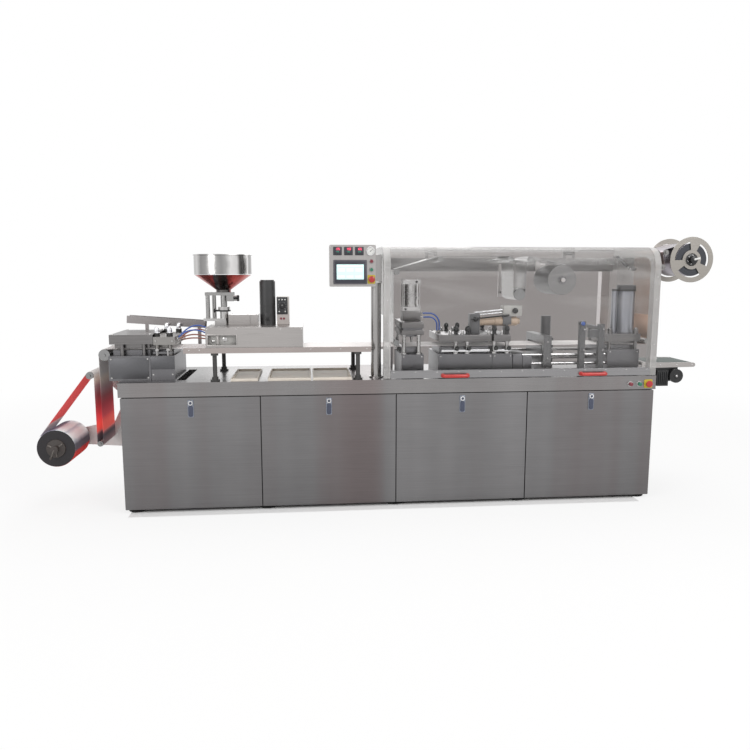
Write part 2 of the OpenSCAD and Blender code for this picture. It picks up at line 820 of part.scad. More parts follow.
module marking_unit() {
  z0 = mark_z0;
  x0 = emboss_x0 + 212;
  x1 = emboss_x1 + 62;
  y = [-135, -65];
  color([0.85, 0.83, 0.8]) on_line() {
    box([x0, x0 + 62], y, [z0, z0 + 128]);
    box([x1 - 98, x1 - 82], y, [z0, z0 + 60]);
    rod_x(-100, z0 + 79, 29, [x0 + 61, x1]);
    box([x1 - 115, x1 + 8], y, [z0 + 107, mark_z1]);
    box([x1 - 115, x1 - 60], y, [z0 + 59, z0 + 108]);
  }
}

module guide_rods() {
  color([0.8, 0.8, 0.82]) on_line()
    for (s = [-1, 1])
      for (z = bay_rod_z)
        rod_x(s * col_y, z, bay_rod_r, [emboss_x1, punch_x0]);
}

module traction_unit() {
  a = col_y + 26;
  x = [grip_x, grip_x + 52];
  color([0.6, 0.6, 0.62]) on_line()
    difference() {
      union() {
        box(x, [-a, a], [deck_z, bay_rod_z[1] + 25]);
        for (s = [-1, 1])
          box(x, [s * col_y - (s > 0 ? 11 : 26), s * col_y + (s > 0 ? 26 : 11)], [deck_z, head_lo + 54]);
        box(x, [-a, a], [head_lo + 5, head_lo + 54]);
        box(x, [-web_y, web_y], [bay_rod_z[1] + 24, die_z]);
      }
      for (s = [-1, 1])
        for (z = bay_rod_z)
          rod_x(s * col_y, z, bay_rod_r + curve_gap, [grip_x - 5, grip_x + 70]);
    }
}

module register_unit() {
  y1 = -col_y - bay_rod_r - 4;
  y0 = y1 - 36;
  ys = col_y + 34;
  color([0.5, 0.52, 0.56]) on_line() {
    box([reg_x, reg_x + 36], [y0, y1], [deck_z, head_lo + 128]);
    box([reg_x + 6, reg_x + 30], [y1 - eps, 60], [head_lo + 90, head_lo + 112]);
    box([reg_x - 62, reg_x + eps], [y0 + 3, y1 - 3], [head_lo + 45, head_lo + 93]);
    box([mark_x, mark_x + 35], [y0, y1], [deck_z, head_lo + 148]);
    box([servo_x - 45, servo_x + 45], [ys, ys + 70], [deck_z, deck_z + 200]);
    rod_z(servo_x, ys + 35, 34, [deck_z + 200 - eps, deck_z + 350]);
  }
}

module punch_head() {
  z0 = head_lo + 16;
  xs = [punch_x0 + 18, punch_x1 - 18];
  color([0.62, 0.62, 0.64]) on_line() {
    box([punch_x0 - 16, punch_x1 + 5], [-station_d / 2, station_d / 2], [z0, z0 + 48]);
    box([punch_x0 + 14, punch_x1 - 14], [-web_y + 2, web_y - 2], [head_lo, z0 + eps]);
    columns(xs, col_y, column_r, [base_z + 18, z0 + eps]);
    for (x = xs)
      for (s = [-1, 1])
        translate([x, s * col_y, z0 + 48 - eps]) dome_nut(14, 40);
  }
}

module punch_cylinder() {
  z0 = head_lo + 64;
  z1 = z0 + punch_h;
  x = punch_x1 - 52;
  y = -60;
  color([0.55, 0.56, 0.58]) on_line() {
    rod_z(x, y, punch_r + 5, [z0, z0 + 18]);
    rod_z(x, y, punch_r, [z0, z1 - 40]);
    rod_z(x, y, punch_r - 4, [z0, z1 - 36]);
    rod_z(x, y, punch_r + 2, [z1 - 38, z1]);
    rod_z(x - punch_r - 20, y, 17, [z0, z1 - 24]);
    rod_z(x - punch_r - 20, y, 20, [z0, z0 + 30]);
  }
}

// Rear frame and lidding foil
module rear_posts() {
  color([0.6, 0.6, 0.62])
    for (x = rpost_at)
      box([x, x + 60], [beam_y, beam_y + beam_d], [deck_z, beam_z0]);
}

module rear_beam() {
  color([0.6, 0.6, 0.62]) {
    box([beam_x0, beam_x1], [beam_y, beam_y + beam_d], [beam_z0, beam_z1]);
    for (x = hinge_at) {
      for (e = [x - 22, x + 42]) {
        box([e, e + 20], [hinge_y - 11, hinge_y + 11], [beam_z1 - eps, hinge_z]);
        rod_x(hinge_y, hinge_z, 11, [e, e + 20]);
      }
      rod_x(hinge_y, hinge_z, hinge_pin_r, [x - 22, x + 62]);
    }
    for (i = [0, 1]) {
      xs = strut_at[i];
      xp = i == 0 ? xs + 19 : xs - 31;
      slab_x([xp, xp + 12]) {
        translate(strut_f) circle(12);
        translate([strut_f[0], beam_z1 - 40]) square([beam_y - strut_f[0] + eps, 36]);
        translate([strut_f[0] - 12, beam_z1 - 40]) square([24, strut_f[1] - beam_z1 + 40]);
      }
      rod_x(strut_f[0], strut_f[1], 5, i == 0 ? [xs - 11, xp + 1] : [xp + 11, xs + 11]);
    }
  }
}

module foil_hangers() {
  y1 = beam_ly;
  color([0.6, 0.6, 0.62]) on_line() {
    box([foil_c[0] - 35, foil_c[0] + 35], [y1 - 12, y1], [foil_c[1] - 40, beam_z1 - 10]);
    rod_y(foil_c, shaft_r, [-roll_w / 2 - 20, y1 - 11]);
    box([fg_d[0] - 22, fg_d[0] + 22], [y1 - 12, y1], [fg_d[1] - 30, beam_z1 - 42]);
  }
}

module foil_rollers() {
  color([0.82, 0.82, 0.84]) on_line() {
    for (c = [fg_a, fg_b, fg_c, fg_s1, fg_s2]) {
      rod_y(c, foil_guide_r, [-web_y - 10, web_y + 10]);
      rod_y(c, 8, [web_y + 9, beam_ly]);
    }
    rod_y(fg_d, foil_dancer_r, [-web_y - 10, web_y + 10]);
    rod_y(fg_d, 8, [web_y + 9, beam_ly - 12]);
  }
}

module lidding_foil() {
  s = foil_guide_r + film_s;
  color([0.75, 0.75, 0.78]) on_line()
    web([[foil_c[0], foil_c[1], -foil_r - move_gap - web_t / 2],
         [fg_c[0], fg_c[1], -s],
         [fg_d[0], fg_d[1], foil_dancer_r + film_s],
         [fg_b[0], fg_b[1], -s],
         [fg_a[0], fg_a[1], -s],
         [fg_s1[0], fg_s1[1], -s],
         [fg_s2[0], fg_s2[1], -s],
         [seal_x0 + 10, web_hi + 2, 0]]);
}

module foil_roll() {
  color([0.72, 0.72, 0.76]) on_line()
    difference() {
      rod_y(foil_c, foil_r, [-roll_w / 2, roll_w / 2]);
      rod_y(foil_c, shaft_r + pin_fit, [-roll_w, roll_w]);
    }
}

// A hose that leaves a station sideways, bends and drops on the next one
module hose(y, z1, x1, bend) {
  x0 = seal_x1 - 3;
  rod_x(y, z1, hose_r, [x0, x1 - bend + eps]);
  rod_z(x1, y, hose_r, [hose_z1, z1 - bend + eps]);
  translate([x1 - bend, y, z1 - bend]) rotate([90, 0, 0])
    rotate_extrude(angle = 90) translate([bend, 0]) circle(hose_r);
}

module air_hoses() {
  color([0.1, 0.2, 0.6]) on_line() {
    hose(-55, hose_z1 + 106, emboss_x0 + 11, 52);
    hose(-35, hose_z1 + 130, emboss_x0 + 30, 70);
  }
}

// Waste reel and outfeed
module reel_arm() {
  y0 = beam_ly + 6;
  y1 = y0 + 20;
  color([0.55, 0.55, 0.57]) on_line() {
    box([beam_x1, reel_c[0]], [y0, y1], [beam_z0 + 10, beam_z1 - 7]);
    box([wg_2[0] - 24, wg_4[0] + 24], [y0, y1], [beam_z1 - 8, wg_4[1] + 16]);
    rod_y(reel_c, 38, [y0, y1]);
    rod_y(wg_3, 24, [y0, y1]);
    rod_y(reel_c, shaft_r, [-reel_y - 20, y0 + 1]);
    rod_y(reel_c, shaft_r + 8, [-reel_y - 35, -reel_y - 19]);
    for (c = [wg_2, wg_3, wg_4]) {
      rod_y(c, foil_guide_r, [-web_y - 8, web_y + 8]);
      rod_y(c, 8, [-web_y - 16, y0 + 1]);
    }
    slab_y([web_y + 27, web_y + 41])
      polygon([[xr - 22, deck_z], [xr + 8, deck_z], [wg_1[0] + 18, wg_1[1] - 18],
               [wg_1[0] + 18, wg_1[1] + 18], [xr - 22, wg_1[1] + 18]]);
    rod_y(wg_1, foil_guide_r, [-web_y - 8, web_y + 8]);
    rod_y(wg_1, 8, [web_y + 7, web_y + 28]);
  }
}

module waste_web() {
  color([0.72, 0.5, 0.4]) on_line()
    web([[punch_x1 + 8, web_z, 0],
         [wg_1[0], wg_1[1], -wg_s],
         [wg_2[0], wg_2[1], wg_s],
         [wg_3[0], wg_3[1], -wg_s],
         [wg_4[0], wg_4[1], wg_s],
         [reel_c[0], reel_c[1], waste_r + move_gap + web_t / 2]]);
}

module waste_roll() {
  color([0.6, 0.6, 0.64]) on_line()
    difference() {
      union() {
        rod_y(reel_c, waste_r, [-web_y - 2, web_y + 2]);
        rod_y(reel_c, hub_r, [-reel_y, reel_y]);
      }
      rod_y(reel_c, shaft_r + pin_fit, [-2 * reel_y, 2 * reel_y]);
    }
}

module reel_flanges() {
  color([0.7, 0.7, 0.72]) on_line()
    for (y = [-reel_y, reel_y - flange_t])
      difference() {
        rod_y(reel_c, flange_r, [y, y + flange_t]);
        rod_y(reel_c, hub_r + curve_gap, [-2 * reel_y, 2 * reel_y]);
        translate([reel_c[0], 0, reel_c[1]]) slab_y([y - 1, y + flange_t + 1])
          for (i = [0:2])
            rotate(120 * i + 20) reel_slot2d();
      }
}

// A curved slot in a reel flange
module reel_slot2d() {
  r0 = hub_r + 22;
  r1 = flange_r - 32;
  intersection() {
    difference() {
      circle(r1);
      circle(r0);
    }
    polygon([[0, 0], 2 * r1 * [cos(42), -sin(42)], 2 * r1 * [cos(42), sin(42)]]);
  }
}

module outfeed_conveyor() {
  x0 = xr - 18;
  x1 = x0 + outfeed_l;
  z0 = deck_z + 28;
  r = outfeed_h / 2 - 3;
  zc = z0 + outfeed_h / 2;
  y0 = web_y + 15;
  tip = outfeed_h / 2 - 5;
  color([0.7, 0.69, 0.68]) on_line() {
    for (y = [-y0 - 6, y0]) {
      box([x0, x0 + 26], [y, y + 6], [deck_z, z0 + eps]);
      translate([0, y, 0]) slab_y([0, 6]) {
        polygon([[x0, z0], [x1 - tip, zc - tip], [x1 - tip, zc + tip], [x0, z0 + outfeed_h]]);
        translate([x1 - tip, zc]) circle(tip);
      }
    }
    rod_y([x0 + 45, zc], r, [-y0 - 1, y0 + 1]);
    rod_y([x1 - 22, zc], tip, [-y0 - 1, y0 + 1]);
    box([x0 + 45, x1 - 22], [-y0 + 10, y0 - 10], [zc - tip, zc + tip]);
  }
}

module outfeed_motor() {
  x0 = xr + 84;
  z1 = deck_z + 28;
  y0 = web_y + 15;
  color([0.1, 0.1, 0.11]) on_line() {
    box([x0, x0 + 150], [-y0, -y0 + 6], [deck_z - 60, z1 + outfeed_h / 2]);
    box([x0 + 2, x0 + 78], [-y0 - 20, -40], [deck_z - 89, deck_z + 14]);
    rod_y([x0 + 125, deck_z - 22], wheel_r, [-y0 - 32, -y0 - 14]);
    rod_y([x0 + 125, deck_z - 22], 12, [-y0 - 15, -y0 + 1]);
  }
}

// Hood section in depth and height
module hood2d(g) {
  y0 = hood_yf + g;
  z1 = hood_z1 - g;
  r = hood_r - g;
  translate([y0 + r, hood_z0 - 40]) square([hood_yb + 40 - y0 - r, z1 - hood_z0 + 40]);
  translate([y0, hood_z0 - 40]) square([r + eps, z1 - r - hood_z0 + 40]);
  translate([y0 + r, z1 - r]) circle(r);
}

module hood_band2d(t, z0) {
  intersection() {
    difference() {
      hood2d(0);
      hood2d(t);
    }
    translate([hood_yf - 1, z0]) square([hood_yb - hood_yf + 1, hood_z1]);
  }
}

module hood_frames() {
  color([0.9, 0.9, 0.88])
    for (x = [hood_x0, hood_x1 - frame_w])
      slab_x([x, x + frame_w]) hood_band2d(frame_d, hood_z0);
}

module hood_glazing() {
  color([0.8, 0.9, 0.95, 0.35]) {
    slab_x([hood_x0 + frame_w, hood_x1 - frame_w]) hood_band2d(hood_t, hood_z0 + rail_h);
    for (x = [hood_x0 + 18, hood_x1 - 23])
      slab_x([x, x + 5])
        intersection() {
          hood2d(frame_d + curve_gap);
          translate([hood_yf, deck_z + 380]) square([235 - hood_yf, hood_h]);
        }
  }
}

module hood_trim() {
  x0 = hood_x0 + frame_w;
  x1 = hood_x1 - frame_w;
  color([0.7, 0.69, 0.68]) {
    box([x0, x1], [rail_y0, rail_y0 + 22], [hood_z0, hood_z0 + rail_h]);
    difference() {
      union() {
        box([x0, x1], [hood_yb, hinge_y + 14], [hood_z1 - 12, hood_z1]);
        for (x = hinge_at)
          rod_x(hinge_y, hinge_z, hinge_r, [x, x + 40]);
      }
      for (x = hinge_at)
        rod_x(hinge_y, hinge_z, hinge_pin_r + pin_fit, [x - 5, x + 45]);
    }
    for (i = [0, 1])
      rod_x(strut_h[0], strut_h[1], 12,
            i == 0 ? [hood_x0 + 23, strut_at[0] - 12] : [strut_at[1] + 12, hood_x1 - 23]);
  }
}

module hood_handles() {
  color([0.75, 0.08, 0.08])
    for (x = handle_at)
      translate([x - handle_w / 2, rail_y0 - handle_out, handle_z - handle_t / 2])
        linear_extrude(handle_t)
          difference() {
            union() {
              translate([0, 14]) square([handle_w, handle_out - 14]);
              soft_rect(handle_w, 28, 13);
            }
            translate([22, 18]) square([handle_w - 44, handle_out]);
          }
}

// A strut lies along its own axis from the fixed pivot to the hood
module strut_frame(x) {
  translate([x, strut_f[0], strut_f[1]]) rotate([strut_a, 0, 0]) children();
}

module strut_tubes() {
  color([0.15, 0.15, 0.16])
    for (x = strut_at)
      strut_frame(x)
        difference() {
          union() {
            rotate([-90, 0, 0]) translate([0, 0, 6]) cylinder(r = strut_r, h = strut_n - 47);
            rod_x(0, 0, 10, [-8, 8]);
          }
          rotate([-90, 0, 0]) translate([0, 0, 20]) cylinder(r = rod_r + pin_fit, h = strut_n);
          rod_x(0, 0, 5 + pin_fit, [-20, 20]);
        }
}

module strut_rods() {
  color([0.8, 0.8, 0.82])
    for (x = strut_at)
      strut_frame(x) {
        rotate([-90, 0, 0]) translate([0, 0, 36]) cylinder(r = rod_r, h = strut_n - 42);
        translate([0, strut_n, 0]) rod_x(0, 0, 9, [-6, 6]);
      }
}

translate([shift_x, shift_y, 0]) {
  levelling_pads();
  cabinet_body();
  cabinet_panels();
  door_latches();
  deck_table();
  run_buttons();
  film_stand();
  film_rollers();
  film_web();
  station_bases();
  heater_plate();
  forming_head();
  product_trough();
  guide_table();
  table_legs();
  deck_trays();
  feeder_housing();
  feeder_motor();
  feeder_gearbox();
  feeder_control();
  hopper();
  hopper_cone();
  hopper_throat();
  hopper_stand();
  hopper_yoke();
  control_post();
  control_panel();
  panel_screen();
  panel_instruments();
  sealing_head();
  sealing_cylinder();
  emboss_head();
  marking_unit();
  guide_rods();
  traction_unit();
  register_unit();
  punch_head();
  punch_cylinder();
  rear_posts();
  rear_beam();
  foil_hangers();
  foil_rollers();
  lidding_foil();
  air_hoses();
  reel_arm();
  waste_web();
  outfeed_conveyor();
  outfeed_motor();
  hood_frames();
  hood_glazing();
  hood_trim();
  hood_handles();
  strut_tubes();
  strut_rods();
  film_roll();
  foil_roll();
  waste_roll();
  reel_flanges();
}
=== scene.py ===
"""Looks of a flat-plate blister packing machine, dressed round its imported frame.

Lengths are millimetres in the drawing's own frame (X along the machine, -Y out of the
working front, Z up) until a piece is finished; then its mesh is moved to the row frame.
"""

import logging
import math
from dataclasses import dataclass
from enum import Enum
from functools import cache
from typing import Iterable, Optional, Sequence

import bmesh
import bpy
from mathutils import Matrix, Vector

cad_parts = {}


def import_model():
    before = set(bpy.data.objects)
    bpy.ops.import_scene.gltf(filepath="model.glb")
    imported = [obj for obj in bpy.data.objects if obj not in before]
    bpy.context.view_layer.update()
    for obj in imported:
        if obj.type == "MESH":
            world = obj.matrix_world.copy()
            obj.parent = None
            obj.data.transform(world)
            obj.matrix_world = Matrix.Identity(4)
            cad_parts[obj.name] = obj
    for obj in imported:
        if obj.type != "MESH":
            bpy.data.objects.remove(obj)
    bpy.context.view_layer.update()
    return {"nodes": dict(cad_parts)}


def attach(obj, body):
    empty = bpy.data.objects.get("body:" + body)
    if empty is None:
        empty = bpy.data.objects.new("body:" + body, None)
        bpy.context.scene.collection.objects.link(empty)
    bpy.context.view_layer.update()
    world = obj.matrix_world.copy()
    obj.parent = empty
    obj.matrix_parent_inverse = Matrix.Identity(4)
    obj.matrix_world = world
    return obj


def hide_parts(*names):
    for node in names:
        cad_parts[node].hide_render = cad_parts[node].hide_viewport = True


LOG = logging.getLogger("blister_machine")
MM = 0.001
SHIFT = Vector((0.060, 0.020, 0.0))
LINE_Y = -50.0
WEB_HALF = 135.0
WEB_Z = 986.05
WEB_GAP = 1.05
ROLL_GAP = 5.75
SHAFT_R = 14.1
CREASE = 35.0
FULL_TURN = 6.28

Span = tuple[float, float]
Point2 = tuple[float, float]
Colour = tuple[float, float, float]


class Axis(Enum):
    """A direction of the machine."""

    X = Vector((1.0, 0.0, 0.0))
    Y = Vector((0.0, 1.0, 0.0))
    Z = Vector((0.0, 0.0, 1.0))


class Body(str, Enum):
    """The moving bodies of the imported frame."""

    MACHINE = "machine"
    HOOD = "hood"
    TUBES = "strut_tubes"
    RODS = "strut_rods"
    FILM_REEL = "film_reel"
    FOIL_REEL = "foil_reel"
    WASTE_REEL = "waste_reel"


# Shader groups and finishes


class Bench:
    """A node tree at work: adds nodes by kind and wires them by socket name."""

    def __init__(self, tree: bpy.types.NodeTree) -> None:
        """Hold the tree.

        Args:
            tree: the node tree to fill.
        """
        self.tree = tree

    def add(self, kind: str, values: Optional[dict] = None, **settings: object) -> bpy.types.Node:
        """Add one node.

        Args:
            kind: the node's type name.
            values: input socket name or index to its default value, or to the node and
                output that feed it.
            **settings: node properties such as operation or data_type.

        Returns:
            The new node.
        """
        node = self.tree.nodes.new(kind)
        for key, value in settings.items():
            setattr(node, key, value)
        for key, value in (values or {}).items():
            if isinstance(value, tuple) and isinstance(value[0], bpy.types.Node):
                self.wire(*value, node, key)
            else:
                node.inputs[key].default_value = value
        return node

    def wire(self, source: bpy.types.Node, out: str | int, target: bpy.types.Node, into: str | int) -> None:
        """Join an output of one node to an input of another.

        Args:
            source: the node that gives.
            out: the name or index of its output.
            target: the node that takes.
            into: the name or index of its input.
        """
        self.tree.links.new(source.outputs[out], target.inputs[into])

    def ramp(self, stops: Sequence[tuple[float, Colour]]) -> bpy.types.Node:
        """Add a colour ramp.

        Args:
            stops: places from 0 to 1 in order, and their colours.

        Returns:
            The new node.
        """
        node = self.add("ShaderNodeValToRGB")
        marks = node.color_ramp.elements
        marks.remove(marks[-1])
        marks[0].position, marks[0].color = stops[0][0], (*stops[0][1], 1.0)
        for at, color in stops[1:]:
            marks.new(at).color = (*color, 1.0)
        return node


class ShaderBook:
    """The shader groups that several finishes share, each built once."""

    @staticmethod
    def _start(name: str, inputs: Iterable[tuple[str, str, object]],
               outputs: Iterable[tuple[str, str]]) -> tuple[Bench, bpy.types.Node, bpy.types.Node]:
        """Open a new group with named sockets.

        Args:
            name: the group's name.
            inputs: socket name, socket type and default value.
            outputs: socket name and socket type.

        Returns:
            A bench on the group, its input node and its output node.
        """
        tree = bpy.data.node_groups.new(name, "ShaderNodeTree")
        for label, kind, value in inputs:
            socket = tree.interface.new_socket(label, in_out="INPUT", socket_type=kind)
            if value is not None:
                socket.default_value = value
        for label, kind in outputs:
            tree.interface.new_socket(label, in_out="OUTPUT", socket_type=kind)
        bench = Bench(tree)
        return bench, bench.add("NodeGroupInput"), bench.add("NodeGroupOutput")

    @classmethod
    @cache
    def brushed_grain(cls) -> bpy.types.NodeTree:
        """Fine drawn lines with slow cloudy changes, for steel sheet.

        Returns:
            A group with outputs Tone, Gloss and Height.
        """
        b, start, end = cls._start(
            "brushed_grain",
            [("Vector", "NodeSocketVector", None), ("Stretch", "NodeSocketVector", (1.0, 1.0, 1.0)),
             ("Contrast", "NodeSocketFloat", 0.2), ("Roughness", "NodeSocketFloat", 0.35)],
            [("Tone", "NodeSocketFloat"), ("Gloss", "NodeSocketFloat"), ("Height", "NodeSocketFloat")])
        stretch = b.add("ShaderNodeVectorMath", {0: (start, "Vector"), 1: (start, "Stretch")}, operation="MULTIPLY")
        lines = b.add("ShaderNodeTexNoise", {"Scale": 1.0, "Detail": 4.0, "Roughness": 0.65,
                                             "Vector": (stretch, 0)})
        cloud = b.add("ShaderNodeTexNoise", {"Scale": 2.3, "Detail": 3.0, "Roughness": 0.55,
                                             "Vector": (start, "Vector")})
        mean = b.add("ShaderNodeMath", {1: 0.6, 0: (lines, "Fac")}, operation="MULTIPLY")
        both = b.add("ShaderNodeMath", {1: 0.4, 0: (cloud, "Fac"), 2: (mean, 0)}, operation="MULTIPLY_ADD")
        centred = b.add("ShaderNodeMath", {1: 0.5, 0: (both, 0)}, operation="SUBTRACT")
        tone = b.add("ShaderNodeMath", {2: 1.0, 0: (centred, 0), 1: (start, "Contrast")}, operation="MULTIPLY_ADD")
        gloss = b.add("ShaderNodeMath", {1: 0.35, 0: (centred, 0), 2: (start, "Roughness")},
                      operation="MULTIPLY_ADD")
        b.wire(tone, 0, end, "Tone")
        b.wire(gloss, 0, end, "Gloss")
        b.wire(lines, "Fac", end, "Height")
        return b.tree

    @classmethod
    @cache
    def painted_sheen_bands(cls) -> bpy.types.NodeTree:
        """Painted sheen: wide upright bands of painted light and painted pink reflection on a long flat sheet, with
        painted shade darkening it towards its foot.

        Returns:
            A group with outputs Tone, the painted light and shade, and the share of the painted pink reflection.
        """
        b, start, end = cls._start("painted_sheen_bands", [("Vector", "NodeSocketVector", None),
                                                   ("Depth", "NodeSocketFloat", 0.3),
                                                   ("Height", "NodeSocketFloat", 0.7)],
                                   [("Tone", "NodeSocketFloat"), ("Warm", "NodeSocketFloat")])
        parts = b.add("ShaderNodeSeparateXYZ", {0: (start, "Vector")})
        bands = b.add("ShaderNodeTexNoise", {"Scale": 1.9, "Detail": 2.5, "Roughness": 0.5, "W": (parts, "X")},
                      noise_dimensions="1D")
        spread = b.add("ShaderNodeMapRange", {"From Min": 0.3, "From Max": 0.7, "To Min": -0.5, "To Max": 0.5,
                                              "Value": (bands, "Fac")})
        low = b.add("ShaderNodeMath", {0: (parts, "Z"), 1: (start, "Height")}, operation="DIVIDE")
        # painted shade: the sheet grows darker towards its foot
        painted_foot_shade = b.add("ShaderNodeMapRange", {"To Min": 0.84, "To Max": 1.05, "Value": (low, 0)})
        tone = b.add("ShaderNodeMath", {0: (spread, "Result"), 1: (start, "Depth"), 2: (painted_foot_shade, "Result")},
                     operation="MULTIPLY_ADD")
        # painted reflection: the darker bands take more of the pink tint
        reflection_share = b.add("ShaderNodeMapRange", {"From Min": 0.5, "From Max": 0.34, "Value": (bands, "Fac")})
        b.wire(tone, 0, end, "Tone")
        b.wire(reflection_share, "Result", end, "Warm")
        return b.tree

    @classmethod
    @cache
    def handling_marks(cls) -> bpy.types.NodeTree:
        """Soft smears and specks that a shop floor leaves on a surface.

        Returns:
            A group with outputs Mask and Gloss.
        """
        b, start, end = cls._start(
            "handling_marks",
            [("Vector", "NodeSocketVector", None), ("Scale", "NodeSocketFloat", 6.0),
             ("Roughness", "NodeSocketFloat", 0.4), ("Spread", "NodeSocketFloat", 0.15)],
            [("Mask", "NodeSocketFloat"), ("Gloss", "NodeSocketFloat")])
        smear = b.add("ShaderNodeTexNoise", {"Detail": 5.0, "Roughness": 0.6, "Distortion": 0.4,
                                             "Vector": (start, "Vector"), "Scale": (start, "Scale")})
        mask = b.add("ShaderNodeMapRange", {"From Min": 0.42, "From Max": 0.68, "Value": (smear, "Fac")})
        gloss = b.add("ShaderNodeMath", {0: (mask, "Result"), 1: (start, "Spread"), 2: (start, "Roughness")},
                      operation="MULTIPLY_ADD")
        b.wire(mask, "Result", end, "Mask")
        b.wire(gloss, 0, end, "Gloss")
        return b.tree

    @classmethod
    @cache
    def painted_pane_reflections(cls) -> bpy.types.NodeTree:
        """Painted reflection: broad slanting pale streaks that thin out downwards, standing in for light lying on a
        clear pane.

        Returns:
            A group with output Mask.
        """
        b, start, end = cls._start("painted_pane_reflections", [("Vector", "NodeSocketVector", None),
                                                  ("Low", "NodeSocketFloat", 1.1),
                                                  ("High", "NodeSocketFloat", 1.5)], [("Mask", "NodeSocketFloat")])
        slope = b.add("ShaderNodeMapping", {"Rotation": (0.0, 0.3, 0.0), "Scale": (0.55, 0.3, 3.4),
                                            "Vector": (start, "Vector")})
        cloud = b.add("ShaderNodeTexNoise", {"Scale": 2.6, "Detail": 2.0, "Distortion": 0.6,
                                             "Vector": (slope, "Vector")})
        streak = b.add("ShaderNodeMapRange", {"From Min": 0.46, "From Max": 0.66, "Value": (cloud, "Fac")})
        parts = b.add("ShaderNodeSeparateXYZ", {0: (start, "Vector")})
        height = b.add("ShaderNodeMapRange", {"Value": (parts, "Z"), "From Min": (start, "Low"),
                                              "From Max": (start, "High")})
        mask = b.add("ShaderNodeMath", {0: (streak, "Result"), 1: (height, "Result")}, operation="MULTIPLY")
        b.wire(mask, 0, end, "Mask")
        return b.tree

    @classmethod
    @cache
    def winding_rings(cls) -> bpy.types.NodeTree:
        """Rings round an axis along Y, as the edges of a wound web show.

        Returns:
            A group with output Tone.
        """
        b, start, end = cls._start(
            "winding_rings", [("Vector", "NodeSocketVector", None), ("Pitch", "NodeSocketFloat", 900.0)],
            [("Tone", "NodeSocketFloat")])
        parts = b.add("ShaderNodeSeparateXYZ", {0: (start, "Vector")})
        flat = b.add("ShaderNodeCombineXYZ", {"X": (parts, "X"), "Y": (parts, "Z")})
        radius = b.add("ShaderNodeVectorMath", {0: (flat, 0)}, operation="LENGTH")
        noise = b.add("ShaderNodeTexNoise", {"Detail": 3.0, "W": (radius, "Value"), "Scale": (start, "Pitch")},
                      noise_dimensions="1D")
        tone = b.add("ShaderNodeMapRange", {"From Min": 0.3, "From Max": 0.7, "To Min": 0.6, "To Max": 1.3,
                                            "Value": (noise, "Fac")})
        b.wire(tone, "Result", end, "Tone")
        return b.tree


@dataclass(frozen=True)
class Finish:
    """A plain finish: a colour, a gloss and the name of the slot it belongs to."""

    name: str
    slot: str
    color: Colour
    roughness: float = 0.4
    metallic: float = 0.0

    def material(self) -> bpy.types.Material:
        """Make the finish's material on first use.

        Returns:
            The material.
        """
        title = f"{self.name}_finish"
        found = bpy.data.materials.get(title)
        if found is not None:
            return found
        made = bpy.data.materials.new(title)
        made.use_nodes = True
        made.diffuse_color = (*self.color, 1.0)
        bench = Bench(made.node_tree)
        shader = made.node_tree.nodes["Principled BSDF"]
        shader.inputs["Base Color"].default_value = (*self.color, 1.0)
        shader.inputs["Roughness"].default_value = self.roughness
        shader.inputs["Metallic"].default_value = self.metallic
        self.dress(bench, shader)
        return made

    def dress(self, bench: Bench, shader: bpy.types.Node) -> None:
        """Add handling marks that change the gloss and tint.

        Args:
            bench: the material's node tree.
            shader: its Principled BSDF.
        """
        place = bench.add("ShaderNodeTexCoord")
        marks = self.smeared(bench, place, shader, 9.0, 0.12)
        self.tint(bench, shader, marks, "Mask", 0.88, 1.04)

    def smeared(self, bench: Bench, place: bpy.types.Node, shader: bpy.types.Node, scale: float,
                spread: float) -> bpy.types.Node:
        """Let handling marks change the gloss.

        Args:
            bench: the material's node tree.
            place: its coordinates.
            shader: its Principled BSDF.
            scale: how fine the marks are.
            spread: how much rougher a mark is.

        Returns:
            The node that makes the marks.
        """
        marks = bench.add("ShaderNodeGroup", {"Scale": scale, "Roughness": self.roughness, "Spread": spread,
                                              "Vector": (place, "Object")}, node_tree=ShaderBook.handling_marks())
        bench.wire(marks, "Gloss", shader, "Roughness")
        return marks

    def tint(self, bench: Bench, shader: bpy.types.Node, source: bpy.types.Node, out: str, low: float,
             high: float) -> None:
        """Multiply the colour by a value that changes over the surface.

        Args:
            bench: the material's node tree.
            shader: its Principled BSDF.
            source: the node that gives the value, from 0 to 1.
            out: the name of its output.
            low: the factor at 0.
            high: the factor at 1.
        """
        factor = bench.add("ShaderNodeMapRange", {"To Min": low, "To Max": high, "Value": (source, out)})
        mixed = bench.add("ShaderNodeVectorMath", {0: self.color, "Scale": (factor, "Result")}, operation="SCALE")
        bench.wire(mixed, 0, shader, "Base Color")


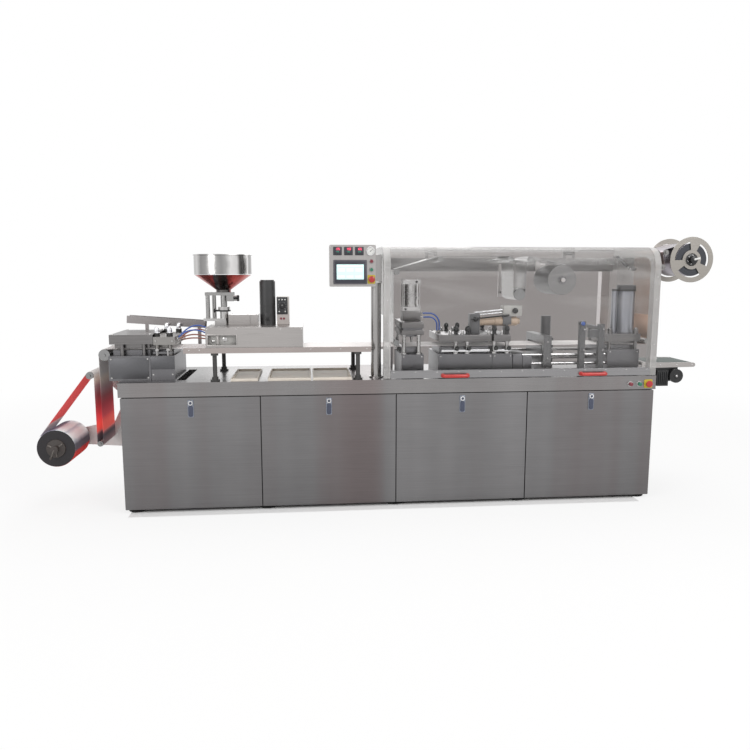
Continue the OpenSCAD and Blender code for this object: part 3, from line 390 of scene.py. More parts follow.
@dataclass(frozen=True)
class Brushed(Finish):
    """Brushed or ground steel, with its grain along one axis, and where set painted sheen bands and a painted shade
    tone for its front face.
    """

    roughness: float = 0.34
    metallic: float = 1.0
    grain: Axis = Axis.X
    contrast: float = 0.5
    edge: float = 1.2
    # strength of the painted sheen bands and of the painted shade towards the foot
    painted_sheen: float = 0.0
    # tint of the painted pink reflection in the bands
    reflection_tint: Colour = (1.0, 0.9, 0.89)
    # painted shade: a depth, and the tone of the faces in front of it, so top and front of one sheet show as lit
    # and shaded copies
    front: Optional[tuple[float, Colour]] = None

    def dress(self, bench: Bench, shader: bpy.types.Node) -> None:
        """Draw the grain, its gloss, its fine height and softened edges, with the painted front shade tone and
        painted sheen bands where set.

        Args:
            bench: the material's node tree.
            shader: its Principled BSDF.
        """
        place = bench.add("ShaderNodeTexCoord")
        grain = bench.add("ShaderNodeGroup", node_tree=ShaderBook.brushed_grain())
        across, along = 420.0, 3.0
        grain.inputs["Stretch"].default_value = [along if v else across for v in self.grain.value]
        grain.inputs["Contrast"].default_value = self.contrast
        grain.inputs["Roughness"].default_value = self.roughness
        bench.wire(place, "Object", grain, "Vector")
        mixed = bench.add("ShaderNodeVectorMath", {0: self.color, "Scale": (grain, "Tone")}, operation="SCALE")
        # painted shade: faces in front of the set depth take the front tone
        if self.front:
            parts = bench.add("ShaderNodeSeparateXYZ", {0: (place, "Object")})
            ahead = bench.add("ShaderNodeMath", {1: self.front[0] * MM + SHIFT.y, 0: (parts, "Y")},
                              operation="LESS_THAN")
            face = bench.add("ShaderNodeMix", {6: (*self.color, 1.0), 7: (*self.front[1], 1.0), 0: (ahead, 0)},
                             data_type="RGBA")
            bench.wire(face, 2, mixed, 0)
        # painted sheen bands, painted shade towards the foot and painted pink reflection
        if self.painted_sheen > 0.0:
            mixed = self._banded(bench, place, mixed)
        bench.wire(mixed, 0, shader, "Base Color")
        bench.wire(grain, "Gloss", shader, "Roughness")
        bump = bench.add("ShaderNodeBump", {"Strength": 0.06, "Distance": 0.0006, "Height": (grain, "Height")})
        soft = bench.add("ShaderNodeBevel", {"Radius": self.edge * MM}, samples=4)
        bench.wire(soft, "Normal", bump, "Normal")
        bench.wire(bump, "Normal", shader, "Normal")

    def _banded(self, bench: Bench, place: bpy.types.Node, toned: bpy.types.Node) -> bpy.types.Node:
        """Lay the painted sheen bands, the painted shade towards the foot and the painted pink reflection over the
        grain.

        Args:
            bench: the material's node tree.
            place: its coordinates.
            toned: the node with the grained colour.

        Returns:
            The node with the banded colour.
        """
        painted_sheen = bench.add("ShaderNodeGroup", {"Depth": self.painted_sheen, "Vector": (place, "Object")},
                          node_tree=ShaderBook.painted_sheen_bands())
        lit = bench.add("ShaderNodeVectorMath", {0: (toned, 0), "Scale": (painted_sheen, "Tone")}, operation="SCALE")
        tint = bench.add("ShaderNodeMix", {6: (1.0, 1.0, 1.0, 1.0), 7: (*self.reflection_tint, 1.0), 0: (painted_sheen, "Warm")},
                         data_type="RGBA")
        reflection_tinted = bench.add("ShaderNodeVectorMath", {0: (lit, 0), 1: (tint, 2)}, operation="MULTIPLY")
        return reflection_tinted


@dataclass(frozen=True)
class Polished(Finish):
    """Bright turned or plated metal."""

    roughness: float = 0.14
    metallic: float = 1.0

    def dress(self, bench: Bench, shader: bpy.types.Node) -> None:
        """Add faint smears to the mirror surface.

        Args:
            bench: the material's node tree.
            shader: its Principled BSDF.
        """
        place = bench.add("ShaderNodeTexCoord")
        marks = self.smeared(bench, place, shader, 14.0, 0.14)
        self.tint(bench, shader, marks, "Mask", 1.0, 0.82)


@dataclass(frozen=True)
class Paint(Finish):
    """Sprayed paint or moulded plastic with a fine skin."""

    skin: float = 900.0
    coat: float = 0.0

    def dress(self, bench: Bench, shader: bpy.types.Node) -> None:
        """Add marks and the skin's fine height.

        Args:
            bench: the material's node tree.
            shader: its Principled BSDF.
        """
        super().dress(bench, shader)
        shader.inputs["Coat Weight"].default_value = self.coat
        place = bench.add("ShaderNodeTexCoord")
        skin = bench.add("ShaderNodeTexNoise", {"Scale": self.skin, "Detail": 2.0, "Vector": (place, "Object")})
        bump = bench.add("ShaderNodeBump", {"Strength": 0.08, "Distance": 0.0004, "Height": (skin, "Fac")})
        soft = bench.add("ShaderNodeBevel", {"Radius": 1.0 * MM}, samples=4)
        bench.wire(soft, "Normal", bump, "Normal")
        bench.wire(bump, "Normal", shader, "Normal")


@dataclass(frozen=True)
class Clear(Finish):
    """Clear sheet that shows more of itself at a slant, with painted reflection streaks where set."""

    roughness: float = 0.06
    facing: float = 0.16
    slant: float = 0.75
    smear: float = 0.05
    # strength of the painted reflection streaks
    painted_reflection: float = 0.0

    def dress(self, bench: Bench, shader: bpy.types.Node) -> None:
        """Let light through, less at a slant, where the sheet is smeared and along the painted reflection streaks.

        Args:
            bench: the material's node tree.
            shader: its Principled BSDF.
        """
        place = bench.add("ShaderNodeTexCoord")
        marks = self.smeared(bench, place, shader, 1.6, 0.1)
        edge = bench.add("ShaderNodeLayerWeight", {"Blend": 0.35})
        veil = bench.add("ShaderNodeMapRange", {"To Min": self.facing, "To Max": self.slant,
                                                "Value": (edge, "Facing")})
        both = bench.add("ShaderNodeMath", {1: self.smear, 0: (marks, "Mask"), 2: (veil, "Result")},
                         operation="MULTIPLY_ADD")
        # painted reflection: pale slanting streaks cover the upper pane
        streaks = bench.add("ShaderNodeGroup", {"Vector": (place, "Object")}, node_tree=ShaderBook.painted_pane_reflections())
        cover = bench.add("ShaderNodeMath", {1: self.painted_reflection, 0: (streaks, "Mask"), 2: (both, 0)},
                          operation="MULTIPLY_ADD")
        bench.wire(cover, 0, shader, "Alpha")


@dataclass(frozen=True)
class Wound(Finish):
    """The side and ends of a wound roll, ringed round its own axis."""

    centre: tuple[float, float, float] = (0.0, 0.0, 0.0)
    pitch: float = 700.0

    def dress(self, bench: Bench, shader: bpy.types.Node) -> None:
        """Draw the rings.

        Args:
            bench: the material's node tree.
            shader: its Principled BSDF.
        """
        place = bench.add("ShaderNodeTexCoord")
        centred = bench.add("ShaderNodeMapping")
        spot = Vector(self.centre) * MM + SHIFT
        centred.inputs["Location"].default_value = (-spot.x, -spot.y, -spot.z)
        bench.wire(place, "Object", centred, "Vector")
        rings = bench.add("ShaderNodeGroup", {"Pitch": self.pitch, "Vector": (centred, "Vector")},
                          node_tree=ShaderBook.winding_rings())
        mixed = bench.add("ShaderNodeVectorMath", {0: self.color, "Scale": (rings, "Tone")}, operation="SCALE")
        bench.wire(mixed, 0, shader, "Base Color")


@dataclass(frozen=True)
class Film(Finish):
    """Thin web whose colour runs along it by its own attribute."""

    roughness: float = 0.16
    stops: tuple[tuple[float, Colour], ...] = ()
    cover: float = 0.9
    shine: float = 0.5
    # strength of a painted glow on the red, standing in for light through the film
    through: float = 0.0

    def dress(self, bench: Bench, shader: bpy.types.Node) -> None:
        """Read how far along the web a point lies, pick its colour and give the red a painted glow.

        Args:
            bench: the material's node tree.
            shader: its Principled BSDF.
        """
        along = bench.add("ShaderNodeAttribute", attribute_name="along")
        ramp = bench.ramp(self.stops)
        place = bench.add("ShaderNodeTexCoord")
        ripple = bench.add("ShaderNodeTexNoise", {"Scale": 5.0, "Detail": 2.0, "Vector": (place, "Object")})
        bump = bench.add("ShaderNodeBump", {"Strength": 0.35, "Distance": 0.004, "Height": (ripple, "Fac")})
        bench.wire(bump, "Normal", shader, "Normal")
        bench.wire(along, "Fac", ramp, "Fac")
        bench.wire(ramp, "Color", shader, "Base Color")
        # painted glow: the redder stretches give off part of their own colour as light
        hue = bench.add("ShaderNodeSeparateColor", {"Color": (ramp, "Color")})
        redness = bench.add("ShaderNodeMath", {0: (hue, "Red"), 1: (hue, "Green")}, operation="SUBTRACT")
        share = bench.add("ShaderNodeMapRange", {"From Max": 0.5, "To Min": 0.3 * self.through,
                                                 "To Max": self.through, "Value": (redness, 0)})
        glow = bench.add("ShaderNodeVectorMath", {0: (ramp, "Color"), "Scale": (share, "Result")},
                         operation="SCALE")
        bench.wire(glow, 0, shader, "Emission Color")
        shader.inputs["Emission Strength"].default_value = 1.0
        shader.inputs["Alpha"].default_value = self.cover
        shader.inputs["Specular IOR Level"].default_value = self.shine


@dataclass(frozen=True)
class Glow(Finish):
    """A lit display or lamp."""

    strength: float = 1.0

    def dress(self, bench: Bench, shader: bpy.types.Node) -> None:
        """Let the surface give off its own colour.

        Args:
            bench: the material's node tree.
            shader: its Principled BSDF.
        """
        place = bench.add("ShaderNodeTexCoord")
        fade = bench.add("ShaderNodeTexNoise", {"Scale": 12.0, "Detail": 1.0, "Vector": (place, "Object")})
        factor = bench.add("ShaderNodeMapRange", {"To Min": 0.85, "To Max": 1.1, "Value": (fade, "Fac")})
        mixed = bench.add("ShaderNodeVectorMath", {0: self.color, "Scale": (factor, "Result")}, operation="SCALE")
        bench.wire(mixed, 0, shader, "Emission Color")
        shader.inputs["Emission Strength"].default_value = self.strength


class Round(Enum):
    """The way that the painted reflection streaks run: round an upright axis, round one in depth, or from side to
    side.
    """

    UPRIGHT = ("Y", "X")
    IN_DEPTH = ("Z", "X")
    SIDEWAYS = ("X", "")


@dataclass(frozen=True)
class Streaked(Finish):
    """Bright sheet with set colour streaks round an axis or across its width, mostly painted reflections and
    highlights.
    """

    roughness: float = 0.18
    metallic: float = 1.0
    way: Round = Round.UPRIGHT
    centre: tuple[float, float, float] = (0.0, 0.0, 0.0)
    half: float = 100.0
    shine: float = 0.5
    streaks: tuple[tuple[float, Colour], ...] = ()

    def dress(self, bench: Bench, shader: bpy.types.Node) -> None:
        """Pick each streak's colour, mostly painted reflections and highlights, by the angle or place, with fine
        noise at its borders.

        Args:
            bench: the material's node tree.
            shader: its Principled BSDF.
        """
        place = bench.add("ShaderNodeTexCoord")
        centred = bench.add("ShaderNodeMapping", {"Location": -(Vector(self.centre) * MM + SHIFT),
                                                  "Vector": (place, "Object")})
        parts = bench.add("ShaderNodeSeparateXYZ", {0: (centred, "Vector")})
        first, second = self.way.value
        reach = self.half * MM
        if second:
            angle = bench.add("ShaderNodeMath", {0: (parts, first), 1: (parts, second)}, operation="ARCTAN2")
            reach = math.pi
            source = angle, 0
        else:
            source = parts, first
        share = bench.add("ShaderNodeMapRange", {"From Min": -reach, "From Max": reach})
        bench.wire(*source, share, "Value")
        waver = bench.add("ShaderNodeTexNoise", {"Scale": 16.0, "Detail": 3.0, "Vector": (place, "Object")})
        shift = bench.add("ShaderNodeMapRange", {"To Min": -0.012, "To Max": 0.012, "Value": (waver, "Fac")})
        spot = bench.add("ShaderNodeMath", {0: (share, "Result"), 1: (shift, "Result")}, operation="ADD")
        ramp = bench.ramp(self.streaks)
        bench.wire(spot, 0, ramp, "Fac")
        bench.wire(ramp, "Color", shader, "Base Color")
        shader.inputs["Specular IOR Level"].default_value = self.shine
        self.smeared(bench, place, shader, 20.0, 0.12)


def grey_reflections(*streaks: tuple[float, float]) -> tuple[tuple[float, Colour], ...]:
    """Make painted reflection streaks of plain steel grey.

    Args:
        *streaks: places from 0 to 1 and their tones.

    Returns:
        Places and colours.
    """
    return tuple((at, (tone, tone * 0.985, tone * 0.975)) for at, tone in streaks)


@dataclass(frozen=True)
class Band:
    """What a banded finish becomes above one height."""

    above: float
    color: Colour
    roughness: float
    metallic: float


@dataclass(frozen=True)
class Banded(Finish):
    """A finish that changes at set heights of a node that holds several metals."""

    bands: tuple[Band, ...] = ()

    def dress(self, bench: Bench, shader: bpy.types.Node) -> None:
        """Switch colour, gloss and metal at each height.

        Args:
            bench: the material's node tree.
            shader: its Principled BSDF.
        """
        place = bench.add("ShaderNodeTexCoord")
        parts = bench.add("ShaderNodeSeparateXYZ", {0: (place, "Object")})
        color = bench.add("ShaderNodeMix", {6: (*self.color, 1.0)}, data_type="RGBA")
        gloss = bench.add("ShaderNodeMix", {2: self.roughness}, data_type="FLOAT")
        metal = bench.add("ShaderNodeMix", {2: self.metallic}, data_type="FLOAT")
        for count, band in enumerate(self.bands):
            step = bench.add("ShaderNodeMath", {1: band.above * MM, 0: (parts, "Z")}, operation="GREATER_THAN")
            if count:
                ahead = (bench.add("ShaderNodeMix", data_type="RGBA"),
                         bench.add("ShaderNodeMix", data_type="FLOAT"),
                         bench.add("ShaderNodeMix", data_type="FLOAT"))
                bench.wire(color, 2, ahead[0], 6)
                bench.wire(gloss, 0, ahead[1], 2)
                bench.wire(metal, 0, ahead[2], 2)
                color, gloss, metal = ahead
            color.inputs[7].default_value = (*band.color, 1.0)
            gloss.inputs[3].default_value = band.roughness
            metal.inputs[3].default_value = band.metallic
            for node in (color, gloss, metal):
                bench.wire(step, 0, node, 0)
        grain = bench.add("ShaderNodeGroup", {"Stretch": (260.0, 3.0, 260.0), "Contrast": 0.5,
                                              "Vector": (place, "Object")}, node_tree=ShaderBook.brushed_grain())
        toned = bench.add("ShaderNodeVectorMath", {0: (color, 2), "Scale": (grain, "Tone")}, operation="SCALE")
        bench.wire(toned, 0, shader, "Base Color")
        marks = bench.add("ShaderNodeGroup", {"Scale": 12.0, "Spread": 0.14, "Vector": (place, "Object"),
                                              "Roughness": (gloss, 0)}, node_tree=ShaderBook.handling_marks())
        bench.wire(marks, "Gloss", shader, "Roughness")
        bench.wire(metal, 0, shader, "Metallic")
        soft = bench.add("ShaderNodeBevel", {"Radius": 1.0 * MM}, samples=4)
        bench.wire(soft, "Normal", shader, "Normal")


# painted sheen bands, painted shade towards the foot and painted pink reflection on the doors
DOOR_STEEL = Brushed("door_steel", "brushed_panel", (0.198, 0.194, 0.197), roughness=0.34, contrast=0.7, painted_sheen=0.3,
                     reflection_tint=(1.0, 0.88, 0.87))
RAIL_STEEL = Brushed("rail_steel", "brushed_panel", (0.29, 0.285, 0.29), roughness=0.28)
SHEET_STEEL = Brushed("sheet_steel", "brushed_panel", (0.40, 0.38, 0.37), roughness=0.28)
POST_STEEL = Brushed("post_steel", "brushed_panel", (0.36, 0.35, 0.345), roughness=0.22, grain=Axis.Z, contrast=0.9)
TROUGH_STEEL = Brushed("trough_steel", "brushed_panel", (0.27, 0.252, 0.25), roughness=0.3)
PANEL_STEEL = Brushed("panel_steel", "grey_paint", (0.41, 0.393, 0.385), roughness=0.34, grain=Axis.Z)
# painted sheen bands; the deck's top is painted darker than its front face, painted shade
DECK_STEEL = Brushed("deck_sheet", "deck_steel", (0.22, 0.215, 0.215), roughness=0.28, contrast=0.4, painted_sheen=0.2,
                     front=(-351.5, (0.24, 0.232, 0.232)))
# the table's front face is painted darker than its top, painted shade
TABLE_STEEL = Brushed("table_sheet", "deck_steel", (0.52, 0.505, 0.50), roughness=0.22,
                      front=(-334.5, (0.40, 0.355, 0.34)))
DIE_STEEL = Brushed("ground_die_steel", "die_steel", (0.16, 0.158, 0.165), roughness=0.34,
                    grain=Axis.Y, contrast=1.4)
FRONT_STEEL = Brushed("front_plate_steel", "die_steel", (0.118, 0.118, 0.124), roughness=0.48,
                      grain=Axis.Y, contrast=1.8)
STRUT_STEEL = Polished("strut_steel", "roller_metal", (0.42, 0.415, 0.41), roughness=0.2)
HEAD_STEEL = Brushed("head_steel", "die_steel", (0.18, 0.173, 0.172), roughness=0.3, grain=Axis.X, contrast=1.2)
BAY_STEEL = Brushed("bay_steel", "die_steel", (0.17, 0.168, 0.17), roughness=0.3, grain=Axis.Z, contrast=1.2)
REAR_STEEL = Brushed("rear_frame_steel", "brushed_panel", (0.52, 0.49, 0.485), roughness=0.34)
BEAM_STEEL = Brushed("beam_steel", "brushed_panel", (0.17, 0.163, 0.163), roughness=0.36)
FRAME_STEEL = Brushed("frame_steel", "brushed_panel", (0.24, 0.235, 0.23), roughness=0.3)
DARK_CORE = Paint("dark_core", "dark_housing", (0.05, 0.05, 0.052), roughness=0.5)
CAST_GREY = Paint("cast_grey", "dark_housing", (0.13, 0.13, 0.135), roughness=0.42)
PAD_RUBBER = Paint("pad_rubber", "rubber_pad", (0.02, 0.02, 0.02), roughness=0.75)
LATCH_METAL = Polished("latch_metal", "latch_metal", (0.26, 0.28, 0.33), roughness=0.25)
PADDLE = Paint("latch_paddle", "latch_metal", (0.045, 0.055, 0.095), roughness=0.28, coat=0.3)
BRIGHT_STEEL = Polished("bright_steel", "polished_steel", (0.50, 0.49, 0.485), roughness=0.16)
STAND_STEEL = Polished("stand_steel", "polished_steel", (0.34, 0.335, 0.33), roughness=0.2)
STAND_PAINT = Paint("stand_paint", "grey_paint", (0.92, 0.91, 0.90), roughness=0.5)
CHROME = Polished("chrome", "polished_steel", (0.74, 0.74, 0.75), roughness=0.08)
ROLLER_METAL = Polished("roller_metal", "roller_metal", (0.62, 0.61, 0.61), roughness=0.14)
FILM_ROLLER = Polished("film_roller", "roller_metal", (0.26, 0.26, 0.26), roughness=0.34)
# painted reflections: bright and dark upright streaks round the bowl stand in for what it mirrors
HOPPER_STEEL = Streaked("hopper_steel", "polished_steel", (0.5, 0.5, 0.5), roughness=0.14,
                        centre=(-1058.0, -60.0, 0.0),
                        streaks=grey_reflections((0.0, 0.34), (0.06, 0.40), (0.10, 0.60), (0.135, 0.26), (0.17, 0.33),
                                      (0.19, 0.4), (0.2, 0.85), (0.214, 0.85), (0.225, 0.36), (0.26, 0.28),
                                      (0.285, 0.38), (0.31, 0.7), (0.345, 0.62), (0.362, 0.2), (0.392, 0.22),
                                      (0.405, 0.9), (0.425, 0.85), (0.44, 0.38), (0.5, 0.30), (0.6, 0.6),
                                      (0.68, 0.28), (0.8, 0.7), (0.9, 0.32), (1.0, 0.34)))
# painted reflections: red streaks down both sides and a dark middle stand in for red things that the cone mirrors
CONE_RED_REFLECTIONS = Streaked("cone_red_reflections", "polished_steel", (0.3, 0.2, 0.2), roughness=0.16, way=Round.SIDEWAYS,
                      centre=(-1058.0, -60.0, 0.0), half=176.0,
                      streaks=((0.0, (0.42, 0.10, 0.085)), (0.2, (0.36, 0.055, 0.045)),
                               (0.365, (0.28, 0.045, 0.04)), (0.39, (0.06, 0.058, 0.06)),
                               (0.5, (0.12, 0.115, 0.11)), (0.6, (0.075, 0.07, 0.07)), (0.63, (0.32, 0.05, 0.045)),
                               (0.85, (0.42, 0.07, 0.06)), (1.0, (0.45, 0.13, 0.11))))
BLACK_PAINT = Paint("black_paint", "black_paint", (0.014, 0.014, 0.015), roughness=0.3)
MOTOR_PAINT = Paint("motor_paint", "black_paint", (0.035, 0.035, 0.036), roughness=0.36)
LEG_PAINT = Paint("leg_paint", "black_paint", (0.045, 0.043, 0.042), roughness=0.4)
PANEL_PAINT = Paint("panel_paint", "grey_paint", (0.50, 0.49, 0.47), roughness=0.4)
UNIT_PAINT = Paint("unit_paint", "grey_paint", (0.58, 0.44, 0.33), roughness=0.35)
TRAY_PAINT = Paint("tray_paint", "tray_paint", (0.80, 0.73, 0.64), roughness=0.5)
BEZEL = Paint("screen_bezel", "screen_plastic", (0.035, 0.036, 0.05), roughness=0.3)
BEZEL_EDGE = Paint("screen_edge", "screen_plastic", (0.09, 0.085, 0.10), roughness=0.35)
INSTRUMENT = Paint("instrument_case", "instrument_plastic", (0.022, 0.024, 0.026), roughness=0.35)
DIAL_WHITE = Paint("dial_white", "instrument_plastic", (0.74, 0.74, 0.72), roughness=0.45)
DIAL_INK = Paint("dial_ink", "instrument_plastic", (0.02, 0.02, 0.02), roughness=0.5)
SCREEN_LIGHT = Glow("screen_light", "screen_plastic", (0.60, 0.86, 0.86), roughness=0.2, strength=0.32)
SCREEN_FIELD = Glow("screen_field", "screen_plastic", (0.66, 0.84, 0.88), roughness=0.2, strength=0.45)
SCREEN_BAR = Glow("screen_bar", "screen_plastic", (0.78, 0.84, 0.66), roughness=0.2, strength=0.4)
DIGIT_RED = Glow("digit_red", "instrument_plastic", (0.95, 0.10, 0.20), roughness=0.3, strength=1.2)
DIGIT_GREEN = Glow("digit_green", "instrument_plastic", (0.05, 0.30, 0.20), roughness=0.3, strength=0.5)
FRAME_PLASTIC = Clear("hood_edge", "frame_plastic", (0.62, 0.61, 0.60), roughness=0.2, facing=0.36, slant=0.92)
# painted reflection streaks on the upper hood
HOOD_SHEET = Clear("hood_sheet", "clear_sheet", (0.5, 0.49, 0.48), facing=0.004, slant=0.58, smear=0.014, painted_reflection=0.2)
HANDLE_RED = Paint("handle_red", "handle_plastic", (0.52, 0.02, 0.015), roughness=0.28, coat=0.4)
HOSE_BLUE = Paint("hose_blue", "hose_plastic", (0.03, 0.10, 0.42), roughness=0.25, coat=0.3)
HOSE_COPPER = Paint("hose_copper", "hose_plastic", (0.36, 0.13, 0.09), roughness=0.3, coat=0.2)
BUTTON_RED = Paint("button_red", "button_plastic", (0.42, 0.02, 0.02), roughness=0.25, coat=0.3)
BUTTON_DARK = Paint("button_dark_red", "button_plastic", (0.20, 0.02, 0.035), roughness=0.28, coat=0.3)
BUTTON_GREEN = Paint("button_green", "button_plastic", (0.02, 0.18, 0.10), roughness=0.28, coat=0.3)
PLATE_YELLOW = Paint("plate_yellow", "button_plastic", (0.55, 0.42, 0.03), roughness=0.4)
FOIL_END = Wound("foil_windings", "foil_metal", (0.24, 0.235, 0.235), roughness=0.4, metallic=0.6,
                 centre=(1079.0, -50.0, 1400.0), pitch=600.0)
ROLL_END = Wound("film_windings", "film_plastic", (0.010, 0.008, 0.010), roughness=0.55,
                 centre=(-2085.0, -50.0, 377.0))
# colour set round the roll's side: the pale stretches over its top are a painted highlight; the reds, slate and
# lilac are the film's colour with darker and brighter stretches
ROLL_SIDE = Streaked("film_roll_side", "film_plastic", (0.5, 0.46, 0.52), roughness=0.3, metallic=0.0, shine=0.0,
                     way=Round.IN_DEPTH, centre=(-2085.0, -50.0, 377.0),
                     streaks=((0.0, (0.34, 0.31, 0.36)), (0.2, (0.2, 0.09, 0.10)), (0.33, (0.70, 0.05, 0.05)),
                              (0.43, (0.95, 0.10, 0.09)), (0.465, (0.75, 0.10, 0.10)), (0.48, (0.20, 0.17, 0.20)),
                              (0.53, (0.16, 0.17, 0.20)), (0.555, (0.50, 0.56, 0.60)), (0.58, (0.88, 1.0, 1.0)),
                              (0.63, (0.90, 1.0, 1.0)), (0.66, (0.56, 0.66, 0.72)), (0.68, (0.86, 1.0, 1.0)),
                              (0.735, (0.80, 0.94, 0.98)), (0.755, (0.34, 0.38, 0.46)), (0.8, (0.24, 0.25, 0.32)),
                              (0.9, (0.46, 0.43, 0.5)), (1.0, (0.34, 0.31, 0.36))))
CHUCK = Paint("roll_chuck", "film_plastic", (0.05, 0.04, 0.036), roughness=0.5)
JAW_METAL = Polished("jaw_metal", "polished_steel", (0.15, 0.135, 0.125), roughness=0.4)
WASTE_END = Wound("waste_windings", "waste_foil", (0.045, 0.048, 0.058), roughness=0.4, metallic=0.3,
                  centre=(1935.0, -50.0, 1529.0), pitch=500.0)
WASTE_SIDE = Polished("waste_side", "waste_foil", (0.30, 0.28, 0.31), roughness=0.3)
FLANGE = Brushed("reel_flange_sheet", "brushed_panel", (0.33, 0.31, 0.285), roughness=0.36, contrast=0.3)
FEEDER_BOX = Banded("feeder_box", "grey_paint", (0.50, 0.46, 0.44), roughness=0.4,
                    bands=(Band(1187.0, (0.48, 0.46, 0.43), 0.4, 0.0),))
PUNCH_CAN = Banded("punch_can", "dark_housing", (0.30, 0.305, 0.335), roughness=0.28, metallic=0.8,
                   bands=(Band(1326.0, (0.09, 0.088, 0.092), 0.4, 0.0),))
FORM_TOP = Banded("forming_steel", "die_steel", (0.27, 0.26, 0.25), roughness=0.32, metallic=1.0,
                  bands=(Band(1063.2, (0.016, 0.015, 0.014), 0.4, 0.0),
                         Band(1086.0, (0.72, 0.72, 0.74), 0.08, 1.0)))


# Mesh making


TO_ROW = Matrix.Translation(SHIFT) @ Matrix.Scale(MM, 4)


def placed(name: str, data: bpy.types.ID) -> bpy.types.Object:
    """Make an object and link it into the scene.

    Args:
        name: the object's name.
        data: its mesh, camera or light.

    Returns:
        The object.
    """
    obj = bpy.data.objects.new(name, data)
    bpy.context.scene.collection.objects.link(obj)
    return obj


def settle(obj: bpy.types.Object, body: Body, stands_for: Sequence[str] = ()) -> bpy.types.Object:
    """Ride a finished piece on its body and hide the CAD nodes that it stands for.

    Args:
        obj: the piece, in the row frame.
        body: the body that it moves with.
        stands_for: the CAD nodes that it replaces.

    Returns:
        The same piece.
    """
    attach(obj, body.value)
    if stands_for:
        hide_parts(*stands_for)
    LOG.info("%s on %s, %d faces", obj.name, body.value, len(obj.data.polygons))
    return obj


